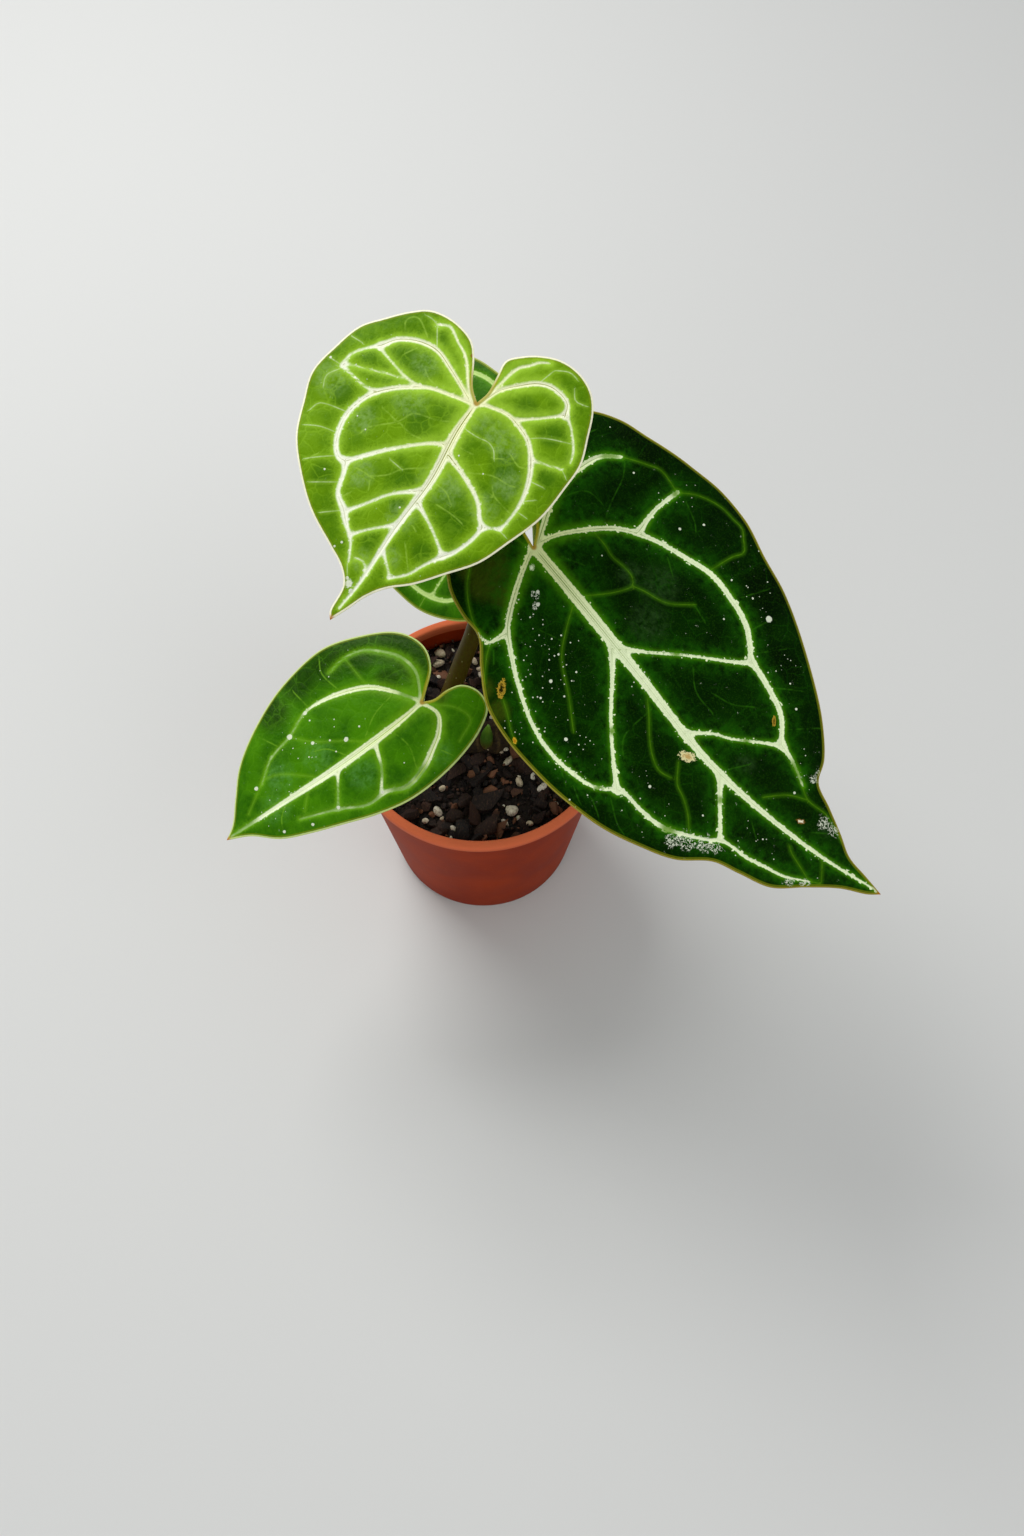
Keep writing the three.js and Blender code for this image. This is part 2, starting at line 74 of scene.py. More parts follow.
CAMERA_PLACE = (12 * MM, -269 * MM, 588 * MM)
CAMERA_ELEVATION = 63.19
LENS, SENSOR = 35.16, 36
FLOOR_SIZE, FLOOR_HEIGHT = 8, -0.3 * MM
LAMPS = {  # place, size, power and the point it faces, in metres and watts
    "key": ((-0.45, 0.55, 1.0), 0.7, 9.5, (0, 0, 0.12)),
    "fill": ((0.7, -0.6, 0.9), 0.9, 2.6, (0, 0, 0.1)),
    "front": ((-0.5, -0.9, 0.5), 0.8, 1.6, (0, 0, 0.08)),
}
SKY_COLOUR, SKY_STRENGTH = (0.94, 0.97, 1, 1), 0.38


def set_stage():
    bpy.ops.object.camera_add(
        location=CAMERA_PLACE, rotation=(math.radians(90 - CAMERA_ELEVATION), 0, 0))
    camera = bpy.context.object
    camera.name = "camera"
    camera.data.lens = LENS
    camera.data.sensor_width = SENSOR
    camera.data.clip_start = 0.01
    bpy.context.scene.camera = camera

    bpy.ops.mesh.primitive_plane_add(size=FLOOR_SIZE, location=(0, 0, FLOOR_HEIGHT))
    floor = bpy.context.object
    floor.name = "floor"
    floor.data.materials.append(
        Finish("pale floor", base_color="d9d9d6", roughness=0.9).material)

    for name, (place, size, power, aim) in LAMPS.items():
        bpy.ops.object.light_add(type="AREA", location=place)
        lamp = bpy.context.object
        lamp.name = name
        lamp.data.shape = "DISK"
        lamp.data.size = size
        lamp.data.energy = power
        away = np.subtract(place, aim)
        lamp.rotation_euler = (math.atan2(math.hypot(away[0], away[1]), away[2]), 0,
                               math.atan2(away[0], -away[1]))

    world = bpy.data.worlds.new("studio")
    world.use_nodes = True
    light = world.node_tree.nodes["Background"].inputs
    light["Color"].default_value = SKY_COLOUR
    light["Strength"].default_value = SKY_STRENGTH
    bpy.context.scene.world = world
    bpy.context.scene.view_settings.view_transform = "Standard"


# Material writing

def tone(text):
    """The linear colour of six hexadecimal digits."""
    parts = [int(text[i:i + 2], 16) / 255 for i in (0, 2, 4)]
    return tuple(p / 12.92 if p < 0.04045 else ((p + 0.055) / 1.055) ** 2.4 for p in parts) + (1,)


class Number:
    """A number that a material works out for each point, for use in sums."""

    def __init__(self, finish, socket):
        self.finish = finish
        self.socket = socket

    def worked(self, operation, *others):
        values = dict(enumerate((self,) + others))
        node = self.finish.node("ShaderNodeMath", {"operation": operation}, values)
        return Number(self.finish, node.outputs[0])

    def __add__(self, other):
        return self.worked("ADD", other)

    def __mul__(self, other):
        return self.worked("MULTIPLY", other)

    __radd__ = __add__
    __rmul__ = __mul__

    def __sub__(self, other):
        return self.worked("SUBTRACT", other)

    def __rsub__(self, other):
        return self.worked("MULTIPLY_ADD", -1, other)

    def __abs__(self):
        return self.worked("ABSOLUTE")

    def larger(self, other):
        return self.worked("MAXIMUM", other)

    def rising(self, low, high):
        """0 below low, 1 above high, and smooth between."""
        node = self.finish.node(
            "ShaderNodeMapRange", {"interpolation_type": "SMOOTHSTEP"},
            {"Value": self, "From Min": low, "From Max": high})
        return Number(self.finish, node.outputs["Result"])

    def falling(self, low, high):
        return 1 - self.rising(low, high)


class Finish:
    """A material with one Principled shader, built node by node. Colours are written as
    hexadecimal digits."""

    def __init__(self, name, **constants):
        self.material = bpy.data.materials.new(name)
        self.material.use_nodes = True
        self.tree = self.material.node_tree
        self.tree.nodes.clear()
        names = {key.replace("_", " ").capitalize(): value for key, value in constants.items()}
        self.shader = self.node("ShaderNodeBsdfPrincipled")
        for socket in self.shader.inputs:
            if socket.name.capitalize() in names:
                self.feed(socket, names[socket.name.capitalize()])
        self.node("ShaderNodeOutputMaterial", {}, {"Surface": self.shader.outputs[0]})

    def feed(self, socket, value):
        if isinstance(value, Number):
            value = value.socket
        if isinstance(value, bpy.types.NodeSocket):
            self.tree.links.new(value, socket)
        else:
            socket.default_value = tone(value) if isinstance(value, str) else value

    def node(self, kind, settings={}, values={}):
        node = self.tree.nodes.new(kind)
        for key, value in settings.items():
            setattr(node, key, value)
        for key, value in values.items():
            if isinstance(key, int):
                self.feed(node.inputs[key], value)
            else:
                self.feed(next(s for s in node.inputs if s.name == key and s.enabled), value)
        return node

    def attribute(self, name):
        node = self.node("ShaderNodeAttribute", {"attribute_name": name})
        return Number(self, node.outputs["Fac"])

    def attribute_place(self, name):
        return self.node("ShaderNodeAttribute", {"attribute_name": name}).outputs["Vector"]

    def object_place(self):
        return self.node("ShaderNodeTexCoord").outputs["Object"]

    def parts(self, place):
        outputs = self.node("ShaderNodeSeparateXYZ", {}, {"Vector": place}).outputs
        return [Number(self, socket) for socket in outputs]

    def sum(self, operation, *values, result=0):
        """One vector sum: output 0 is a vector, output "Value" a number."""
        node = self.node("ShaderNodeVectorMath", {"operation": operation}, dict(enumerate(values)))
        return node.outputs[result]

    def stretched(self, place, factors):
        return self.sum("MULTIPLY", place, factors)

    def noise(self, place, size, detail=3, roughness=0.5):
        values = {"Vector": place, "Scale": 1 / size, "Detail": detail, "Roughness": roughness}
        return Number(self, self.node("ShaderNodeTexNoise", {}, values).outputs[0])

    def warped(self, place, size, amount):
        """The same place, pushed about by up to half of amount."""
        values = {"Vector": place, "Scale": 1 / size, "Detail": 2}
        push = self.node("ShaderNodeTexNoise", {}, values).outputs["Color"]
        centred = self.sum("SUBTRACT", push, (0.5, 0.5, 0.5))
        return self.sum("MULTIPLY_ADD", centred, (amount, amount, amount), place)

    def cells(self, place, size):
        """Distance to the nearest cell's centre, and a random colour for each cell."""
        node = self.node("ShaderNodeTexVoronoi", {}, {"Vector": place, "Scale": 1 / size})
        return Number(self, node.outputs["Distance"]) * size, node.outputs["Color"]

    def seams(self, place, size):
        """Distance to the nearest border between cells."""
        node = self.node("ShaderNodeTexVoronoi", {"feature": "DISTANCE_TO_EDGE"},
                         {"Vector": place, "Scale": 1 / size})
        return Number(self, node.outputs["Distance"]) * size

    def from_point(self, place, point):
        return Number(self, self.sum("DISTANCE", place, point, result="Value"))

    def oval(self, place, centre, turn, long, wide):
        """Distance from a turned oval's centre, 1 on its outline."""
        away = self.sum("SUBTRACT", place, centre)
        cos, sin = math.cos(math.radians(turn)), math.sin(math.radians(turn))
        along, across = (
            Number(self, self.sum("DOT_PRODUCT", away, direction, result="Value"))
            for direction in ((cos / long, sin / long, 0.5), (-sin / wide, cos / wide, 0.5)))
        return (along * along + across * across).worked("POWER", 0.5)

    def coats(self, colour, *coats):
        """The colour under one coat after another, each a mask and its colour."""
        for mask, coat in coats:
            node = self.node("ShaderNodeMix", {"data_type": "RGBA", "clamp_factor": True},
                             {"Factor": mask, "A": colour, "B": coat})
            colour = next(s for s in node.outputs if s.enabled)
        return colour

    def surface(self, colour, roughness, height, strength=1):
        """Puts together what shows. Height is in millimetres."""
        relief = self.node(
            "ShaderNodeBump", {}, {"Height": height, "Distance": MM, "Strength": strength})
        for name, value in (
                ("Base Color", colour), ("Roughness", roughness), ("Normal", relief.outputs[0])):
            self.feed(self.shader.inputs[name], value)
        return self.material


# Curves and grids

FINE_STEPS = 40  # between two of a curve's given points


def curve(points, count, start=0.0, end=1.0):
    """count + 1 points evenly along a smooth curve through the given ones."""
    knots = np.array(points, float)
    last = len(knots) - 1
    padded = np.vstack([2 * knots[0] - knots[1], knots, 2 * knots[-1] - knots[-2]])
    at = np.linspace(start, end, FINE_STEPS * last + 1) * last
    cell = np.minimum(at.astype(int), last - 1)
    part = (at - cell)[:, None]
    p0, p1, p2, p3 = (padded[cell + k] for k in range(4))
    d0, d1, d2 = (
        np.maximum(np.linalg.norm(b - a, axis=1, keepdims=True), 1e-8) ** 0.5
        for a, b in ((p0, p1), (p1, p2), (p2, p3)))
    leave = ((p1 - p0) / d0 - (p2 - p0) / (d0 + d1) + (p2 - p1) / d1) * d1
    arrive = ((p2 - p1) / d1 - (p3 - p1) / (d1 + d2) + (p3 - p2) / d2) * d1
    fine = (
        p1 + leave * part + (3 * (p2 - p1) - 2 * leave - arrive) * part ** 2
        + (2 * (p1 - p2) + leave + arrive) * part ** 3)
    steps = np.linalg.norm(np.diff(fine, axis=0), axis=1)
    reach = np.concatenate([[0], np.cumsum(steps)])
    goals = np.linspace(0, reach[-1], count + 1)
    return np.stack([np.interp(goals, reach, fine[:, k]) for k in range(fine.shape[1])], 1)


def unit(vectors):
    return vectors / np.linalg.norm(vectors, axis=-1, keepdims=True)


def read_points(mesh):
    flat = np.empty(3 * len(mesh.vertices))
    mesh.vertices.foreach_get("co", flat)
    return flat.reshape(-1, 3)


def write_points(mesh, points):
    mesh.vertices.foreach_set("co", np.asarray(points, float).ravel())
    mesh.update()


def store(mesh, name, values):
    """Keeps one number, or three, for each vertex."""
    kind, key = ("FLOAT", "value") if values.ndim == 1 else ("FLOAT_VECTOR", "vector")
    mesh.attributes.new(name, kind, "POINT").data.foreach_set(key, values.ravel())


def sheet(name, columns, rows, shape):
    """A grid whose points go to shape(column number, row number)."""
    bpy.ops.mesh.primitive_grid_add(x_subdivisions=columns, y_subdivisions=rows, size=2)
    piece = bpy.context.object
    piece.name = name
    places = read_points(piece.data)
    column, row = (
        np.rint((places[:, axis] + 1) / 2 * count).astype(int)
        for axis, count in enumerate((columns, rows)))
    write_points(piece.data, shape(column, row))
    return piece


def close_up(piece):
    """Merges points that meet and turns the faces outwards."""
    with editing(piece):
        bpy.ops.mesh.remove_doubles(threshold=MERGE_GAP)
        bpy.ops.mesh.dissolve_degenerate(threshold=MERGE_GAP / 4)
        bpy.ops.mesh.normals_make_consistent(inside=False)


def add_modifier(piece, kind, **settings):
    pick(piece)
    modifier = piece.modifiers.new(kind.lower(), kind)
    for key, value in settings.items():
        setattr(modifier, key, value)
    bpy.ops.object.modifier_apply(modifier=modifier.name)


def finish_piece(piece, material, slot, *nodes):
    piece.data.materials.clear()
    piece.data.materials.append(material)
    pick(piece)
    bpy.ops.object.shade_smooth_by_angle(angle=SMOOTH_ANGLE)
    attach(piece, "root")
    if nodes:
        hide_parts(*nodes)


# Leaves. at, tipward and face place the blade; length, width, arch, rear, cross, wave and
# waves bend it. steps: cells along the lobe, along the side and from spine to margin.
# halves: core of the lobe, where on the margin (in points) the line from the joint through
# the core comes out, number of the point level with the joint, margin from the joint to the
# tip. ribs: half widths from start to end, and the line. twigs and threads: thin and faint
# veins. patches: (u, v, radius) where the veins turn green, lime crust or dust lies, tissue
# has aged, a painted sheen of reflected light lies, or painted shade darkens the tissue.
# spots: (u, v, radius). blemishes: u, v, turn in degrees, half length, half width, colour
# of the ring and of the inside.

LARGE = dict(
    name="large", slot="leaf_dark", at=(18.4, -4.5, 213), tipward=(0.708, -0.63, -0.319),
    face=(0.152, -0.305, 0.94), length=150, width=56, arch=5, rear=3, cross=(5, 4), wave=1.5,
    waves=6, keel=1.7, puff=0.45, web=0.65, steps=(46, 190, 64),
    halo=2.2, halo_strength=1.0, reach=10, reach_strength=1.0, soft=0.14, tooth=0.7, gloss=0.5,
    net_size=6.5, net_strength=0.3, twig_strength=0.45, twig_width=0.27, thread_strength=0.45,
    shine=0.08, hem=0.42,
    shine_tint="9cc874", deep="001300", body="042500", glow="4c8c08", vein="ecf8ca",
    fresh="e2ea9a", groove="84a050", net="1a5604", twig="649416", thread="2f6a0c",
    margin="948a30", sheen="2c4a22", dark="000a00", under="58783a",
    midrib=[(2.5, -0.5), (22, -2), (50, -5), (82, -8.5), (105, -7.5), (128, -4), (150, 1.5)],
    halves=[
        ((-10, 27), 6.9, 9, [(0, 0), (-4, 5.5), (-10.5, 8.5), (-17.5, 12.5), (-23, 21),
            (-24.5, 31.5), (-22.5, 40.5), (-18, 46.5), (-10, 51), (0.5, 53), (15.5, 56.5),
            (28, 59), (39.5, 57.5), (52.5, 52), (64.5, 48.5), (75, 44), (87.5, 36.5),
            (100.5, 27), (109, 18.5), (112.5, 12), (120, 9), (128.5, 5.5), (135, 2.5),
            (142.5, 2), (150, 1.5)]),
        ((-9, -12), 5.2, 7, [(0, 0), (-4, 1.1), (-11, 2.5), (-18.5, 0.5), (-21, -8), (-18, -18),
            (-9.5, -27), (0, -30.5), (7.5, -31.5), (15, -38), (24, -44.5), (33.5, -47),
            (47, -48), (60, -48), (74, -46), (86.5, -41.5), (97, -36.5), (105.5, -29),
            (113.5, -26), (123.5, -22), (131.5, -14), (139.5, -6.5), (147, -1.5), (150, 1.5)])],
    ribs=[
        ((1.5, 1.9, 1.5, 1.2, 0.9, 0.55, 0.25), [(0, 0), (22, -2), (50, -5), (82, -8.5),
            (105, -7.5), (128, -4), (149, 1.5)]),
        ((0.6, 0.75, 0.7, 0.85, 0.85, 0.9, 0.7), [(0, 1), (2.2, 7.5), (8.3, 17), (14.6, 24),
            (24.5, 29.7), (35, 33), (44, 35), (54, 33.7), (62.7, 31.2), (68.5, 27),
            (71.3, 24.6), (79.3, 22.6), (89.5, 18.8), (96, 12)]),
        ((0.9, 0.45, 0.25), [(96, 12), (102, 10.8), (109.4, 7.7)]),
        ((0.7, 1.0, 1.0, 0.6), [(0.4, 1.4), (-3.4, 8.8), (-6.8, 16), (-8.1, 22.8), (-7.6, 29.2),
            (-5.8, 36.5), (-1.4, 41.3)]),
        ((1.0, 0.6, 0.7), [(19, 28), (17.8, 37), (18.6, 46.8)]),
        ((0.9, 0.42, 0.4, 0.45, 0.75), [(39, -4.5), (47.7, 2.6), (57, 11), (67, 19),
            (72.4, 24)]),
        ((0.8, 0.42, 0.36, 0.4, 0.65), [(72, -8), (78, -1.8), (83.4, 1.6), (91, 7.7),
            (96.5, 12)]),
        ((0.6, 0.85, 0.65, 0.55, 0.6, 0.45, 0.65, 0.4, 0.5, 0.2), [(0.2, -1.1), (2.2, -5.8),
            (4.5, -11), (9.2, -19.5), (12.5, -24), (17.8, -28), (25.7, -33), (36, -38),
            (45, -40.4), (54, -40.8), (64, -39), (71, -34), (78.8, -33.8), (86.5, -32.8),
            (92.5, -30), (99, -26), (104, -22.3), (111.5, -21), (118, -18.8), (124, -16.7),
            (131, -12)]),
        ((0.95, 0.58, 0.5, 0.52, 0.85), [(38.5, -5), (45.4, -12), (53.6, -21), (63.6, -30),
            (70, -35)]),
        ((1.0, 0.55, 0.65), [(89, -9), (94, -14.3), (102, -22.3)]),
        ((0.8, 0.5, 0.3), [(13, -25.5), (11, -31), (7, -31)])],
    twigs=[
        [(-1.4, 41.3), (1.5, 43), (7, 46), (10, 47.5), (16, 47), (18.6, 46.5)],
        [(18.5, 46.5), (24, 51.5), (31, 54.5), (37, 54.5), (41, 54), (43.5, 51.5), (46.5, 48),
         (45, 44.5), (43, 36)],
        [(7, -31), (2.5, -29), (-1.5, -26.5), (-5.5, -23), (-8.5, -19)],
        [(-0.5, -1.5), (-6.5, -2.5), (-12, -6)],
        [(10, 17), (15, 16.5), (19, 15.5), (24, 16), (27.5, 15.5), (29.5, 13.5), (28, 9.5),
         (25.5, 5.5), (22, 1)],
        [(29.5, 13.5), (33, 15), (40.5, 17.5), (47, 23.5)],
        [(12, -31), (14, -34.5), (19, -40.5)],
        [(26.5, -40), (30.5, -42), (34.5, -44.5), (38, -46)],
        [(21, -4), (25, -11.5), (30, -18.5), (39.5, -25), (48, -31.5)],
        [(57, -8.5), (61, -12), (64.5, -15.5), (69.5, -19.5), (74.5, -21.5), (78.5, -20.5)],
        [(77, -15.5), (81.5, -20.5), (85.5, -22), (90, -24.5), (93.5, -27.5)],
        [(102, 10), (109, 7.5), (113.5, 5.5), (121, 6.5), (125, 5.5), (130, 4)],
        [(113.5, 5.5), (108, 2), (103, -4)], [(119, -9), (121, -10), (125.5, -11), (130, -12)],
        [(128.5, -3.5), (134, -10)], [(120.5, -18), (124, -17), (128, -14), (134, -10)]],
    threads=[
        [(10, 21), (8, 25), (6, 30), (4, 36), (1, 40.5)],
        [(-4.5, 18), (-3, 22), (-0.5, 25), (5, 25.5)], [(0.5, 2), (3, 6), (6, 13.5)],
        [(6.5, 3), (14.5, 7)], [(23, 46.5), (29.5, 43.5), (32, 41)],
        [(54.5, 34), (58.5, 42), (60, 45)], [(65, 31.5), (67, 38)], [(71, 27), (76.5, 35)],
        [(47, 23.5), (53, 22)], [(31, 28.5), (36.5, 25)], [(16, -25), (17.5, -23.5), (20, -24)],
        [(20, -17), (25.5, -15)], [(14, -31.5), (17.5, -35)], [(54, -42.5), (57.5, -44.5)],
        [(60, -43.5), (64.5, -45.5)], [(66, -42), (71.5, -44.5)],
        [(70, -38), (77, -42), (80, -42.5)], [(70, 7.5), (76.5, 9.5), (82.5, 14.5)],
        [(89, -6.5), (93, 0)], [(106, -12.5), (109.5, -14.5)],
        [(118, -4), (120.5, -1.5), (125, 2.5)], [(81.5, 22.5), (89, 29)],
        [(94, 16.5), (101, 24.5)], [(-12, 22), (-16, 32), (-13, 42)],
        [(60, -10), (60, -22), (66, -28)], [(60, 9), (66, 4), (74, 3)]],
    patches=dict(
        fading=[(53.7, 8, 1.4), (65.5, -38.6, 1.5), (56.2, -23, 1.3), (87.5, 4.5, 1.3),
            (94, -14.2, 1.2), (89, -31.6, 2.5), (105, 9.3, 4), (-4, 39, 3), (18.4, 46, 1.5)],
        crust=[(92, -33.5, 2.2), (95.5, -30.5, 3), (100, -27, 2.8), (103.5, -25.5, 1.6),
            (110.5, 11.5, 1.4), (110, 14.5, 1), (122, 4, 2.2), (126, 4.5, 2),
            (126.5, -16.5, 1.6), (130.5, -13.5, 1.6), (11, -10.5, 1.4), (13.5, -13, 1)],
        dusty=[(14, -15, 7), (22, -20, 9), (32, -25, 11), (42, -32, 11), (54, -36, 8),
            (38, -44, 6), (64, -44, 5), (60, 42, 6), (20, 45, 6), (52, -8, 5), (80, 30, 7),
            (78, -30, 8), (110, -16, 8), (106, 14, 7)],
        aged=[(-14, -14, 5), (-8, -18, 4.5), (-2, -19, 5), (-3, -13, 4.5), (4, -17.5, 4),
            (-8, -8, 4), (11, -37, 4), (20, -42, 3), (28, -43, 3)],
        painted_sheen=[(35, 20, 6), (27, 15.5, 4), (41, 9, 6), (92, -1, 3), (124, 4, 3)],
        shade=[(0, 48, 9), (-16, 30, 9), (60, 44, 10), (80, 30, 7)]),
    spots=[(66.5, 38.1, 1.15), (31.6, 45.5, 0.45), (5, 40.2, 0.4), (27.3, 38.4, 0.5),
        (49.8, 38.3, 0.35), (56.5, 27.1, 0.35), (91.8, 23.5, 0.45), (48.1, -34.8, 0.6),
        (75.9, -27, 0.5), (32.6, -25.8, 0.6), (66, -38.2, 0.4), (109, 4, 0.45),
        (34, -31.5, 0.4), (13.5, -12, 0.7), (10.8, -9.2, 0.6), (93.5, -21.5, 0.35)],
    blemishes=[
        (24, -38.2, -54, 2.7, 1.2, "b08f2c", "241f04"),
        (37.6, -45.8, -30, 0.9, 0.6, "c8a428", "b07a18"),
        (77.6, -12.3, 32, 2.5, 1.4, "e2d9a0", "c8a868"),
        (89.4, 15.5, -54, 1.7, 0.6, "a8882c", "6a5214"),
        (116.4, -0.9, 36, 1.4, 0.7, "7a5a20", "efe8cc"),
        (4.3, -5.1, -54, 1.2, 0.75, "a8bf88", "e6f0cc")])

